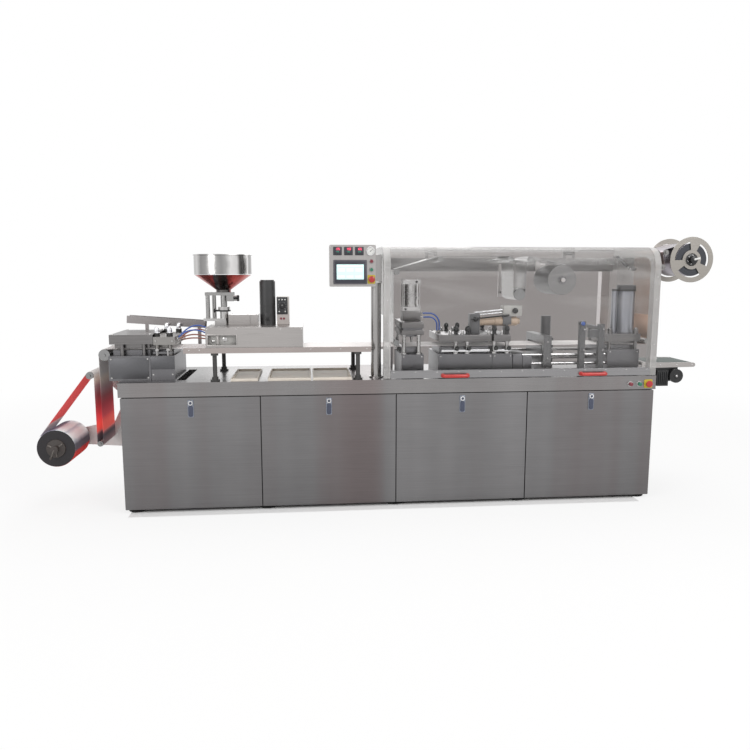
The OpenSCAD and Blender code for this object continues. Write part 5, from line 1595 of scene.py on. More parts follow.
@dataclass
class FilmUnwind:
    """The film roll on its stand and the film up to the stations."""

    machine: Machine
    roll: Point2 = (-2085.0, 377.0)
    roll_r: float = 115.0
    roll_w: float = 290.0
    core_r: float = 58.0
    shaft_r: float = SHAFT_R
    guide: Point2 = (-1862.05, 826.0)
    dancer: Point2 = (-1821.05, 400.0)
    entry: Point2 = (-1767.95, 951.0)
    web_z: float = WEB_Z
    web_end: float = 1602.0

    def build(self) -> None:
        """Make the roll and the film, then dress the stand and rollers."""
        self.machine.dress(STAND_PAINT, "film_stand")
        self.machine.dress(FILM_ROLLER, "film_rollers")
        self._roll()
        self._film()

    def _roll(self) -> None:
        """Wind the roll on its core with a three-jaw chuck."""
        x, z = self.roll
        y0 = LINE_Y - self.roll_w / 2.0
        y1 = LINE_Y + self.roll_w / 2.0
        r, c, s = self.roll_r, self.core_r, self.shaft_r
        wound = Shape()
        wound.turned((x, y0, z), BACK, [(r - 1.0, 0), (r, 1.0), (r, self.roll_w - 1.0), (r - 1.0, self.roll_w),
                                        (r - 1.4, self.roll_w - 0.3), (r - 1.4, 0.3), (r - 1.0, 0)], 96, 1)
        for y, way in ((y0 + 0.2, BACK), (y1 - 0.2, OUT)):
            wound.turned((x, y, z), way, [(c + 0.4, 0), (r - 1.1, 0), (r - 1.1, 3), (c + 0.4, 3), (c + 0.4, 0)], 96)
        wound.turned((x, y0 - 12, z), BACK, [(s, 0), (s + 6, 0), (30, 3), (c - 2, 6), (c, 9), (c, self.roll_w + 15),
                                             (c - 4, self.roll_w + 24), (s, self.roll_w + 24), (s, 0)], 48, 2)
        for jaw in range(3):
            angle = math.radians(120.0 * jaw + 35.0)
            a = Vector((x + 24.0 * math.cos(angle), y0 - 9.0, z + 24.0 * math.sin(angle)))
            b = Vector((x + 52.0 * math.cos(angle), y0 - 5.0, z + 52.0 * math.sin(angle)))
            wound.rod(a, b, 5.5, 1.5, 12, 3)
        wound.piece("film_roll_wound", [ROLL_END, ROLL_SIDE, CHUCK, JAW_METAL], Body.FILM_REEL, ["film_roll"])
        knob = Shape()
        y = y0 - 40.0
        knob.turned((x, y + 16, z), OUT, [(14.5, 0), (24, 0), (24, 15), (22, 17), (14, 18), (0, 18.6)], 28)
        knob.rod((x, y + 2, z), (x - 16, y - 4, z - 44), 5.0, 1.0, 14, 1)
        knob.turned((x - 15, y - 3.6, z - 41), (-16, -6, -44), [(4, 0), (8, 3), (9, 10), (7, 17), (0, 20)], 18)
        knob.piece("shaft_clamp", [CHUCK, JAW_METAL])

    def _film(self) -> None:
        """Lead the film from the roll over the rollers and through the stations."""
        stops = [(*self.roll, self.roll_r + ROLL_GAP), (*self.guide, 22.0 + WEB_GAP),
                 (*self.dancer, -17.0 - WEB_GAP), (*self.entry, 34.0 + WEB_GAP), (self.web_end, self.web_z, 0.0)]
        # the film's colour along its run: red is its own; the silver and tan stretches are painted reflections,
        # slate and the darker reds painted shade, ruby, glow and flame painted light
        silver, lilac, red = (0.60, 0.57, 0.56), (0.50, 0.45, 0.52), (0.60, 0.10, 0.10)
        tan, ash, wine, crimson = (0.62, 0.53, 0.47), (0.38, 0.25, 0.26), (0.33, 0.105, 0.115), (0.43, 0.075, 0.09)
        ruby, flame, rose, slate = (0.60, 0.095, 0.11), (0.96, 0.16, 0.135), (0.45, 0.22, 0.22), (0.14, 0.14, 0.16)
        pale, glow = (0.86, 0.83, 0.82), (0.66, 0.13, 0.11)
        ramp = ((0.10, lilac), (0.24, silver), (0.27, red), (0.86, red), (0.89, tan), (0.93, silver),
                (1.08, silver), (1.16, tan), (1.235, ash), (1.34, wine), (1.46, crimson), (1.6, ruby), (1.68, glow),
                (1.765, glow), (1.78, rose), (1.8, slate), (1.97, slate), (2.03, silver), (2.1, ash), (2.18, slate),
                (2.2, rose), (2.22, flame), (2.29, flame), (2.35, ruby), (2.45, crimson), (2.52, wine), (2.60, ash),
                (2.68, tan), (2.74, silver), (3.1, silver), (3.16, pale), (4.0, pale))
        # through gives the red stretches a painted glow
        film = Film("film_web_colour", "film_plastic", red, stops=tuple((v / len(stops), c) for v, c in ramp),
                    cover=1.0, shine=0.0, through=0.35)
        Ribbon(stops).piece("film_running", film, Body.MACHINE, ["film_web"])


@dataclass
class FormingStation:
    """Heating plate, forming head and the product trough behind them."""

    machine: Machine
    heat_x: Span = (-1723.0, -1467.0)
    heat_y: Span = (-240.0, 150.0)
    heat_z: Span = (1019.8, 1076.8)
    hose_x: Span = (-1337.0, -1143.0)
    hose_r: float = 4.5
    hose_lead: float = 62.0
    hose_steps: int = 28
    hose_nut: tuple[Point2, ...] = ((4.7, 0), (9, 0), (9, 7), (7, 9), (7, 15), (4.7, 15), (4.7, 0))
    hoses: tuple[tuple[str, float, float, float, float, Finish], ...] = (
        ("water_hose_front", -160.0, 1044.0, 70.0, 1066.0, HOSE_BLUE),
        ("water_hose_middle", -125.0, 1034.0, 44.0, 1046.0, HOSE_COPPER),
        ("water_hose_rear", -85.0, 1048.0, 84.0, 1088.0, HOSE_BLUE),
        ("water_hose_low", -50.0, 1024.0, 22.0, 1026.0, HOSE_COPPER),
        ("water_hose_back", -20.0, 1040.0, 62.0, 1064.0, HOSE_COPPER),
    )

    def build(self) -> None:
        """Dress the blocks, then set screws, front plates and hoses on them."""
        self.machine.dress(DIE_STEEL, "station_bases")
        self.machine.dress(HEAD_STEEL, "heater_plate")
        self.machine.dress(FORM_TOP, "forming_head")
        self.machine.dress(TROUGH_STEEL, "product_trough")
        self._screws()
        self._fittings()
        self._hoses()

    def _hoses(self) -> None:
        """Lead the water hoses from the forming head to the feeder's housing."""
        ends = Shape()
        left, right = self.hose_x
        for name, y, low, rise, high, finish in self.hoses:
            marks = [Vector((left, y, low)), Vector((left + self.hose_lead, y, low + rise)),
                     Vector((right - self.hose_lead, y, high + rise * 0.6)), Vector((right, y, high))]
            path = [curve_point(marks, step / self.hose_steps) for step in range(self.hose_steps + 1)]
            lead_hose(name, path, self.hose_r, finish)
            for end, after in ((path[0], path[1]), (path[-1], path[-2])):
                ends.turned(end - (after - end) * 0.2, after - end, self.hose_nut, 18)
        ends.piece("water_hose_fittings", [BRIGHT_STEEL])

    def _screws(self) -> None:
        """Set socket screws in the plates and base fronts."""
        x0, x1 = self.heat_x
        y0, y1 = self.heat_y
        spots: list[Spot] = [((x, y, self.heat_z[1]), UP) for x in (x0 + 18, x1 - 18) for y in (y0 + 18, y1 - 18)]
        spots += [((x, -250.0, z), OUT) for x in (-1714.0, -1499.0) for z in (818.0, 932.0)]
        spots += [((x, -250.0, 836.0), OUT) for x in (-1468.0, -1354.0)]
        spots += [((x, -240.0, 1038.0), OUT) for x in (-1450.0, -1352.0)]
        Repeater.set("forming_screws", socket_screw(6.0), spots, BRIGHT_STEEL, turn=FULL_TURN)

    def _fittings(self) -> None:
        """Make the front plates, the water ports and the bar below them."""
        parts = Shape()
        parts.block((-1484.0, -1342.0), (-252.0, -249.6), (868.0, 944.0), 0.8)
        parts.block((-1722.0, -1496.0), (-252.5, -249.6), (812.0, 938.0), 1.0)
        for x in (-1440.0, -1376.0):
            parts.rod((x, -262.0, 985.0), (x, -240.0, 985.0), 10.0, 1.0, 20, 1)
            parts.rod((x, -262.0, 985.0), (x, -262.0, 952.0), 5.0, 1.0, 14, 1)
        parts.block((-1464.0, -1352.0), (-262.0, -236.0), (962.5, 974.0), 1.2, 2)
        parts.piece("forming_front_plates", [FRONT_STEEL, BRIGHT_STEEL, CAST_GREY])


@dataclass
class Feeder:
    """Guide table, trays, feeder housing, its drive and the product hopper."""

    machine: Machine
    hopper: Point2 = (-1058.0, -60.0)
    bowl_r: float = 176.0
    rim_z: float = 1558.0
    bowl_z: float = 1435.0
    collar_z: float = 1340.0
    box_x: Span = (-728.0, -651.0)
    box_y: Span = (-105.0, -15.0)
    box_z: Span = (1123.0, 1298.0)

    def build(self) -> None:
        """Dress the sheet work and make the hopper, window and controls."""
        self.machine.dress(TABLE_STEEL, "guide_table")
        self.machine.dress(LEG_PAINT, "table_legs")
        self.machine.dress(TRAY_PAINT, "deck_trays")
        self.machine.dress(SHEET_STEEL, "feeder_housing", "feeder_gearbox")
        self.machine.dress(MOTOR_PAINT, "feeder_motor")
        self.machine.dress(STAND_STEEL, "hopper_yoke", "hopper_throat")
        self.machine.dress(BRIGHT_STEEL, "hopper_stand")
        self._bowl()
        self._control_box()
        self._fittings()

    def _bowl(self) -> None:
        """Spin the hopper bowl and cone with a rolled rim."""
        x, y = self.hopper
        r, w = self.bowl_r, 3.0
        bowl = Shape()
        z0 = self.bowl_z
        profile = [(r - w, 2.0), (r, 2.0), (r, self.rim_z - z0 - 8.0)]
        for step in range(9):
            angle = math.radians(-60.0 + 30.0 * step)
            profile.append((r + 1.4 + 3.6 * math.cos(angle), self.rim_z - z0 - 3.6 + 3.6 * math.sin(angle)))
        profile += [(r - w, self.rim_z - z0 - 6.0), (r - w, 2.0)]
        bowl.turned((x, y, z0), UP, profile, 96)
        bowl.piece("hopper_bowl_spun", [HOPPER_STEEL], stands_for=["hopper"])
        cone = Shape()
        k = 45.0
        zk = self.collar_z - 15.0
        cone.turned((x, y, zk), UP, [(17.0, 0), (k - 1, 0), (k, 1), (k, 15), (r - 1.0, 109.0), (r, 110.0),
                                     (r, 112.0), (r - w, 112.0), (k - w, 19.0), (17.0, 4.0), (17.0, 0)], 96)
        # outer faces take the painted red reflections, inner faces bright steel
        for face in cone.bm.faces:
            out = face.calc_center_median().xy - Vector((x, y))
            if out.dot(face.normal.xy) < -1e-3:
                face.material_index = 1
        cone.piece("hopper_cone_spun", [CONE_RED_REFLECTIONS, BRIGHT_STEEL], stands_for=["hopper_cone"])
        seam = Shape()
        seam.turned((x, y, self.bowl_z - 2.0), UP, [(r + 0.2, 0), (r + 1.6, 1.2), (r + 1.6, 3.0), (r + 0.2, 4.2),
                                                    (r + 0.2, 0)], 96)
        seam.block((x + 62.0, x + 88.0), (y - 46.0, y - 26.0), (1287.0, 1296.0), 2.0, 1)
        for z in (1280.0, 1298.0):
            seam.turned((x + 84.0, y - 33.0, z), RIGHT, [(7, 0), (10, 2), (10, 12), (8, 15), (0, 16)], 20, 1)
        seam.turned((x, y, 1205.0), UP, [(37.4, 0), (41.0, 1), (41.0, 9), (37.4, 10), (37.4, 0)], 40, 1)
        seam.turned((x - 38.0, y, 1210.0), LEFT, [(6, 0), (6, 14), (12, 15), (13, 22), (10, 27), (0, 28)], 20, 1)
        seam.piece("hopper_fittings", [CHROME, BLACK_PAINT])

    def _control_box(self) -> None:
        """Make the feeder's control box with its dark switch plate."""
        x0, x1 = self.box_x
        y0, y1 = self.box_y
        z0, z1 = self.box_z
        box = Shape()
        box.block((x0, x1), (y0, y1), (z0, z1), 2.5)
        box.plate(rounded((x0 + 1.5, x1 - 9.0), (z0 + 64.0, z1 - 3.0), 3.0), (y0 - 2.5, y0 + 0.5), 0.8, 1)
        for dx, dz in ((16.0, 156.0), (34.5, 156.0), (53.0, 156.0), (16.0, 82.0), (53.0, 82.0)):
            box.turned((x0 + dx, y0 - 2.4, z0 + dz), OUT, [(4.6, 0), (4.6, 2), (3.6, 3), (3.2, 6), (0, 6.4)], 20, 2)
        box.turned((x0 + 34.5, y0 - 2.4, z0 + 116.0), OUT,
                   [(21, 0), (21, 1.5), (15, 2.5), (13, 12), (11.5, 13.5), (0, 13.5)], 32, 3)
        for k in range(9):
            angle = math.radians(-45.0 + 33.75 * k)
            box.turned((x0 + 34.5 + 25.0 * math.cos(angle), y0 - 2.4, z0 + 116.0 + 25.0 * math.sin(angle)), OUT,
                       [(1.3, 0), (1.3, 0.6), (0, 0.7)], 8, 2)
        box.block((x0 + 33.5, x0 + 35.5), (y0 - 16.4, y0 - 15.6), (z0 + 117.0, z0 + 126.0), 0.3, 2)
        for dx in (26.0, 44.0):
            box.turned((x0 + dx, y0 - 0.4, z0 + 38.0), OUT, [(7, 0), (7, 2.5), (5.5, 3.5), (0, 4)], 20, 4)
        box.piece("feeder_control_box", [FEEDER_BOX, INSTRUMENT, DIAL_WHITE, BLACK_PAINT, BUTTON_DARK],
                  stands_for=["feeder_control"])

    def _fittings(self) -> None:
        """Set screws on the housing and frame its window."""
        spots: list[Spot] = [((x, -325.0, z), OUT) for x in (-1134.0, -575.0) for z in (990.0, 1112.0)]
        spots += [((x, -325.0, 1112.0), OUT) for x in (-960.0, -700.0)]
        spots += [((x, y, 1187.0), UP) for x in (-1015.0, -905.0, -853.0) for y in (-125.0, 25.0)]
        spots += [((x, -335.0, 990.0), OUT) for x in (-1240.0, -1180.0, -520.0, -340.0, -180.0)]
        Repeater.set("feeder_screws", pan_screw(4.0), spots, BRIGHT_STEEL)
        inside = Shape()
        for z in (1013.0, 1076.5):
            inside.block((-1134.0, -957.0), (-328.0, -324.6), (z, z + 6.5), 1.0)
        for x in (-1134.5, -962.5):
            inside.block((x, x + 6.0), (-328.0, -324.6), (1019.0, 1077.0), 1.0)
        inside.block((-1078.0, -1066.0), (-312.0, -298.0), (990.0, 1085.0), 1.0)
        inside.turned((-1030.0, -300.0, 1052.0), OUT, [(14, 0), (14, 6), (9, 8), (9, 14), (0, 15)], 24, 1)
        inside.turned((-1100.0, -300.0, 1040.0), OUT, [(9, 0), (9, 6), (6, 8), (0, 9)], 20, 1)
        inside.block((-1130.0, -960.0), (-300.0, -292.0), (985.0, 1100.0), 1.0, 2)
        inside.piece("feeder_window_frame", [SHEET_STEEL, BRIGHT_STEEL, PANEL_PAINT])
        rim = Shape()
        for z in (1124.2, 1236.2, 1400.2):
            rim.turned((-786.0, -60.0, z), UP, [(30.0, 0), (43.5, 0), (43.5, 0.8), (30.0, 0.8), (30.0, 0)], 48)
        rim.block((-800.0, -772.0), (-113.0, -100.0), (1150.0, 1196.0), 3.0)
        rim.turned((-786.0, -112.0, 1160.0), OUT, [(8, 0), (8, 6), (6, 9), (0, 9)], 16, 1)
        rim.piece("feeder_motor_terminal", [MOTOR_PAINT, BLACK_PAINT])


@dataclass
class ControlPanel:
    """Operator panel with its screen, temperature controllers and buttons."""

    machine: Machine
    x0: float = -402.0
    front: float = -346.0
    top: float = 1610.0
    digits: tuple[str, ...] = ("135", "150", "165")
    lit: tuple[tuple[str, str], ...] = (("0", "abcdef"), ("1", "bc"), ("3", "abcdg"), ("5", "acdfg"),
                                        ("6", "acdefg"))

    def build(self) -> None:
        """Dress the case and post and make what shows on the front."""
        self.machine.dress(PANEL_STEEL, "control_panel")
        self.machine.dress(POST_STEEL, "control_post")
        self._screen()
        self._controllers()
        self._gauge()
        self._buttons()

    def _screen(self) -> None:
        """Make the screen in its stepped bezel, with plain fields."""
        x, y, z = self.x0 + 22.0, self.front, self.top - 232.0
        unit = Shape()
        outer, inner = rounded((x, x + 201), (z, z + 144), 6.0), rounded((x + 9, x + 192), (z + 9, z + 135), 4.0)
        unit.plate(outer, (y - 5.5, y - 0.1), 1.2, 1)
        unit.plate(inner, (y - 8.5, y - 5.0), 1.0)
        gx, gz = (x + 20.0, x + 181.0), (z + 29.0, z + 117.0)
        unit.plate(rounded(gx, gz, 1.5), (y - 9.4, y - 8.0), 0.2, 2)
        unit.block((gx[0] + 4, gx[1] - 4), (y - 9.7, y - 9.2), (gz[1] - 13, gz[1] - 4), 0.1, 4)
        for i in range(3):
            for low, high in ((44, 66), (8, 24)):
                field = (gx[0] + 6 + i * 52, gx[0] + 48 + i * 52)
                unit.block(field, (y - 9.7, y - 9.2), (gz[0] + low, gz[0] + high), 0.1, 3)
        unit.piece("operator_screen", [BEZEL, BEZEL_EDGE, SCREEN_LIGHT, SCREEN_FIELD, SCREEN_BAR],
                   stands_for=["panel_screen"])

    def _segments(self, shape: Shape, x: float, z: float, text: str, width: float, height: float, y: float,
                  finish: int) -> None:
        """Draw a number in bars.

        Args:
            shape: the shape to add the bars to.
            x: the left edge of the number.
            z: the foot of the number.
            text: the number.
            width: the width of one figure.
            height: its height.
            y: the plane it lies on.
            finish: the index of its finish.
        """
        table = dict(self.lit)
        t = width * 0.2
        for i, figure in enumerate(text):
            left = x + i * width * 1.35
            bars = {"a": (left, left + width, z + height - t, z + height),
                    "g": (left, left + width, z + (height - t) / 2, z + (height + t) / 2),
                    "d": (left, left + width, z, z + t), "f": (left, left + t, z + height / 2, z + height),
                    "e": (left, left + t, z, z + height / 2),
                    "b": (left + width - t, left + width, z + height / 2, z + height),
                    "c": (left + width - t, left + width, z, z + height / 2)}
            for bar in table[figure]:
                a, b, c, d = bars[bar]
                shape.block((a, b), (y - 0.4, y + 0.2), (c, d), 0.0, finish)

    def _controllers(self) -> None:
        """Make three controllers with lit figures and keys."""
        row = Shape()
        y = self.front
        for i, text in enumerate(self.digits):
            x, z = self.x0 + 22.0 + i * 65.0, self.top - 61.0
            row.plate(rounded((x, x + 51), (z, z + 49), 3.0), (y - 6.0, y - 0.1), 1.2)
            row.plate(rounded((x + 4, x + 47), (z + 14, z + 46), 2.0), (y - 6.8, y - 5.8), 0.3, 1)
            self._segments(row, x + 12.0, z + 30.0, text, 7.5, 13.0, y - 6.9, 2)
            self._segments(row, x + 14.0, z + 17.0, text, 5.5, 9.0, y - 6.9, 3)
            for k in range(4):
                row.block((x + 5 + k * 10.7, x + 13 + k * 10.7), (y - 7.4, y - 5.8), (z + 4, z + 10), 0.6, 1)
        row.piece("temperature_controllers", [INSTRUMENT, BEZEL, DIGIT_RED, DIGIT_GREEN],
                  stands_for=["panel_instruments"])

    def _gauge(self) -> None:
        """Make the pressure gauge with ticks and a needle."""
        x, y, z = self.x0 + 244.0, self.front, self.top - 37.0
        gauge = Shape()
        gauge.turned((x, y, z), OUT, [(28, 0), (28, 7), (26, 10), (23.5, 10), (23, 7.5), (0, 7.5)], 48)
        gauge.turned((x, y - 7.4, z), OUT, [(23, 0), (23, 0.5), (0, 0.6)], 40, 1)
        for tick in range(11):
            angle = math.radians(225.0 - 27.0 * tick)
            way = Vector((math.cos(angle), 0.0, math.sin(angle)))
            middle = Vector((x, y - 8.1, z))
            gauge.rod(middle + way * 16.5, middle + way * 21.0, 0.7, 0.2, 6, 2)
        gauge.rod((x - 4, y - 8.8, z - 3), (x + 13, y - 8.8, z + 11), 0.8, 0.2, 8, 2)
        gauge.turned((x, y - 8.0, z), OUT, [(2.5, 0), (2.5, 1.2), (0, 1.6)], 14, 2)
        gauge.piece("pressure_gauge", [CHROME, DIAL_WHITE, DIAL_INK])

    def _buttons(self) -> None:
        """Make the two lamps and the mushroom stop on its plate."""
        x, y = self.x0 + 250.0, self.front
        lamps = Shape()
        for i in range(2):
            z = self.top - 96.0 - 50.0 * i
            lamps.turned((x, y, z), OUT, [(15, 0), (15, 3), (13.5, 5), (11.5, 5), (11, 7), (0, 7)], 32, 3)
            lamps.turned((x, y - 5, z), OUT, [(10.5, 0), (10.5, 4), (9, 6.5), (0, 7)], 28, i)
        z = self.top - 203.0
        lamps.plate(rounded((x - 24, x + 22), (z - 26, z + 26), 5.0), (y - 2.5, y - 0.1), 0.6, 4)
        lamps.turned((x, y - 2, z), OUT, [(13, 0), (13, 9), (11, 11), (11, 13)], 28, 3)
        lamps.turned((x, y - 13, z), OUT, [(11, 0), (19, 1), (20, 5), (18, 11), (12, 14), (0, 15)], 36, 2)
        lamps.piece("panel_buttons", [BUTTON_DARK, BUTTON_GREEN, BUTTON_RED, BRIGHT_STEEL, PLATE_YELLOW])
        spots = [((px, self.front, pz), OUT) for px in (self.x0 + 8, self.x0 + 268)
                 for pz in (self.top - 8, self.top - 238)]
        Repeater.set("panel_screws", pan_screw(3.2), spots, BRIGHT_STEEL)
        clamp = Shape()
        clamp.block((-150.0, -80.0), (-270.0, -199.0), (1384.0, 1398.0), 2.0)
        clamp.turned((-114.0, -235.0, 1552.0), UP, [(33, 0), (33, 4), (30, 6), (0, 7)], 32)
        clamp.turned((-114.0, -235.0, 801.0), UP, [(31.5, 0), (44, 0), (44, 6), (38, 9), (31.5, 9), (31.5, 0)], 40)
        clamp.piece("post_clamps", [BRIGHT_STEEL])


@dataclass
class HoodedStations:
    """Sealing, embossing, traction and punching stations under the hood."""

    machine: Machine
    front: float = -230.0
    back: float = 130.0
    head_z: float = 992.8
    base_top: float = 938.0
    column_out: float = 156.0
    deck_top: float = 800.0
    line: float = LINE_Y

    def build(self) -> None:
        """Dress the blocks, then make the plates, the marking unit, screws, fittings and hoses."""
        self.machine.dress(HEAD_STEEL, "punch_head")
        self.machine.dress(BRIGHT_STEEL, "sealing_cylinder")
        self.machine.dress(BAY_STEEL, "traction_unit")
        self.machine.dress(CAST_GREY, "register_unit")
        self.machine.dress(PUNCH_CAN, "punch_cylinder")
        self.machine.dress(ROLLER_METAL, "guide_rods")
        self._embossing_plates()
        self._rod_block()
        self._sealing_plates()
        self._marking_unit()
        self._screws()
        self._fittings()
        self._hoses()

    def _columns(self, shape: Shape, places: Sequence[float], top: float, finish: int) -> None:
        """Stand collared columns on a base, front and rear.

        Args:
            shape: the shape to add them to.
            places: where they stand along the machine.
            top: the height of the plate that they carry.
            finish: the index of their finish.
        """
        tall = top - self.base_top
        for x in places:
            for y in (self.line - self.column_out, self.line + self.column_out):
                shape.turned((x, y, self.base_top), UP,
                             [(20, 0), (20, 10), (12, 13), (12, tall - 10), (17, tall - 8),
                              (17, tall + 0.5)], 24, finish)

    def _embossing_plates(self) -> None:
        """Make the two embossing plates, clear of the web, with their adjusting knobs."""
        places = (395.0, 470.0, 643.0, 727.0)
        low, top = self.head_z + 22.0, self.head_z + 66.0
        depth = (self.line - WEB_HALF + 2.0, self.line + WEB_HALF - 2.0)
        head = Shape()
        for x0, x1 in ((283.0, 621.0), (635.0, 745.0)):
            head.block((x0, x1), (self.front, self.back), (low, top), 2.0)
            head.block((x0 + 30.0, x1 - 10.0), depth, (low - 8.0, low + 1.0), 1.0, 1)
            head.block((x0 + 30.0, x1 - 10.0), depth, (self.base_top, self.base_top + 34.0), 2.0, 1)
        self._columns(head, places, low, 2)
        for x in places:
            for y in (self.line - self.column_out, self.line + self.column_out):
                head.turned((x, y, top), UP, [(19, 0), (19, 4), (13, 6), (12, 20), (15.5, 25), (16.5, 34), (14, 46),
                                              (8, 53), (0, 56)], 28, 3)
                head.turned((x - 34.0, y, top), UP, [(13, 0), (13, 8), (9, 10), (9, 22), (7, 25), (0, 26)], 20, 2)
        head.piece("embossing_plates", [HEAD_STEEL, DIE_STEEL, BRIGHT_STEEL, BLACK_PAINT],
                   stands_for=["emboss_head"])

    def _rod_block(self) -> None:
        """Make the two blocks beside the embossing station that carry the guide rods."""
        block = Shape()
        block.block((762.0, 824.0), (self.front, self.back), (self.deck_top, self.base_top - 3.0), 2.0)
        block.block((827.0, 888.0), (self.front + 6.0, self.back - 6.0), (self.deck_top, self.base_top - 12.0), 2.0)
        block.piece("rod_end_block", [DIE_STEEL])

    def _sealing_plates(self) -> None:
        """Make the sealing head as stacked plates over its die."""
        low, top = self.head_z + 68.0, self.head_z + 148.0
        depth = (self.line - WEB_HALF + 2.0, self.line + WEB_HALF - 2.0)
        head = Shape()
        head.block((47.0, 188.0), (self.front, self.back), (low, low + 30.0), 2.0)
        head.block((55.0, 180.0), (self.front + 8.0, self.back - 8.0), (low + 29.5, low + 44.5), 1.0, 1)
        head.block((47.0, 188.0), (self.front, self.back), (low + 44.0, top), 2.0)
        head.block((70.0, 185.0), (self.line - 70.0, self.line + 70.0), (top - 0.5, top + 64.0), 3.0)
        head.block((61.0, 174.0), depth, (low - 14.0, low + 0.5), 1.0, 1)
        head.block((61.0, 174.0), depth, (self.base_top, self.base_top + 34.0), 2.0, 1)
        self._columns(head, (65.0, 158.0), low, 2)
        head.piece("sealing_plates", [HEAD_STEEL, DIE_STEEL, BRIGHT_STEEL], stands_for=["sealing_head"])

    def _marking_unit(self) -> None:
        """Make the marking cylinder between its end blocks, with its rods."""
        z0 = self.head_z + 66.0
        x0, x1 = 493.0, 820.0
        y = (self.line - 135.0, self.line - 65.0)
        ym = self.line - 100.0
        unit = Shape()
        unit.block((x0, x0 + 62), y, (z0 + 0.2, z0 + 128), 3.0, 2)
        unit.block((x1 - 98, x1 - 82), y, (z0 + 0.2, z0 + 60), 2.0, 2)
        unit.turned((x0 + 61, ym, z0 + 79), RIGHT, [(27, 0), (29, 2), (29, 20), (26, 22), (26, 100), (29, 102),
                                                    (29, 246), (27, 248), (20, 250), (20, 264), (0, 266)], 40)
        unit.block((x1 - 115, x1 + 8), y, (z0 + 112, z0 + 181), 4.0, 1)
        unit.block((x1 - 115, x1 - 60), y, (z0 + 59, z0 + 113), 3.0, 2)
        for dz in (118.0, 136.0):
            unit.rod((x0 + 30, ym - 18, z0 + dz), (x1 - 112, ym - 18, z0 + dz + 18), 6.0, 1.0, 16, 3)
        unit.rod((x0 + 4, ym - 42, z0 + 96), (x0 + 250, ym - 42, z0 + 120), 5.0, 1.0, 16, 4)
        unit.turned((x0 + 31, y[0], z0 + 96), OUT, [(12, 0), (16, 3), (16, 14), (12, 17), (0, 18)], 24, 4)
        unit.turned((x1 - 40, y[0], z0 + 148), OUT, [(14, 0), (18, 3), (18, 12), (13, 15), (0, 16)], 24, 4)
        unit.piece("marking_cylinder", [UNIT_PAINT, PANEL_PAINT, CAST_GREY, CHROME, BLACK_PAINT],
                   stands_for=["marking_unit"])

    def _screws(self) -> None:
        """Set socket screws in the station tops and fronts."""
        spots: list[Spot] = []
        for x0, x1, z in ((60.0, 175.0, 1140.8), (300.0, 730.0, 1058.8), (1384.0, 1588.0, 1056.8)):
            spots += [((x, y, z), UP) for x in (x0, x1) for y in (self.front + 16.0, self.back - 16.0)]
        for x0, x1, z in ((47.0, 188.0, 938.0), (281.0, 627.0, 938.0), (629.0, 758.0, 938.0),
                          (1386.0, 1597.0, 956.0)):
            spots += [((x, self.front, h), OUT) for x in (x0 + 14.0, x1 - 14.0) for h in (818.0, z - 14.0)]
        spots += [((986.0, -232.0, h), OUT) for h in (840.0, 905.0, 1010.0)]
        spots += [((x + 18.0, -268.0, h), OUT) for x in (1192.0, 1317.0) for h in (830.0, 960.0, 1090.0)]
        Repeater.set("station_screws", socket_screw(5.5), spots, BRIGHT_STEEL, turn=FULL_TURN)

    def _fittings(self) -> None:
        """Add the cylinders' bands and ports, the front levers and bars, and the knobs."""
        fit = Shape()
        x, y = 127.5, self.line
        for z in (1232.0, 1280.0):
            fit.turned((x, y, z), UP, [(46.2, 0), (50, 1), (50, 11), (46.2, 12), (46.2, 0)], 40)
        for dx, z in ((-40.0, 1216.0), (30.0, 1388.0)):
            fit.turned((x + dx, y - 57.0, z), OUT, [(7, 0), (7, 9), (5, 11), (0, 11)], 16, 1)
        for x in (395.0, 470.0, 643.0, 727.0):
            fit.rod((x, self.front + 2.0, 976.0), (x, self.front - 22.0, 976.0), 7.0, 1.0, 16, 2)
            fit.turned((x, self.front - 20.0, 976.0), OUT, [(8, 0), (14, 3), (15, 10), (11, 16), (0, 17)], 22, 1)
        for span in ((300.0, 610.0), (640.0, 745.0)):
            fit.block(span, (self.front - 4.0, self.front + 1.0), (952.0, 966.0), 1.5, 2)
        for x in (1404.0, 1579.0):
            fit.turned((x, self.line, 1057.0), UP, [(16, 0), (16, 14), (12, 17), (12, 34), (9, 37), (0, 38)], 24, 2)
        fit.turned((1545.0, self.line - 60.0, 1330.5), UP,
                   [(60.2, 0), (63, 1), (63, 7), (60.2, 8), (60.2, 0)], 48, 1)
        fit.block((1180.0, 1216.0), (-264.0, -234.0), (1120.0, 1136.0), 2.0, 1)
        fit.turned((1197.0, -268.0, 1128.0), OUT, [(9, 0), (13, 2), (13, 12), (9, 15), (0, 16)], 22, 3)
        fit.piece("station_fittings", [BRIGHT_STEEL, BLACK_PAINT, CHROME, HOSE_BLUE])

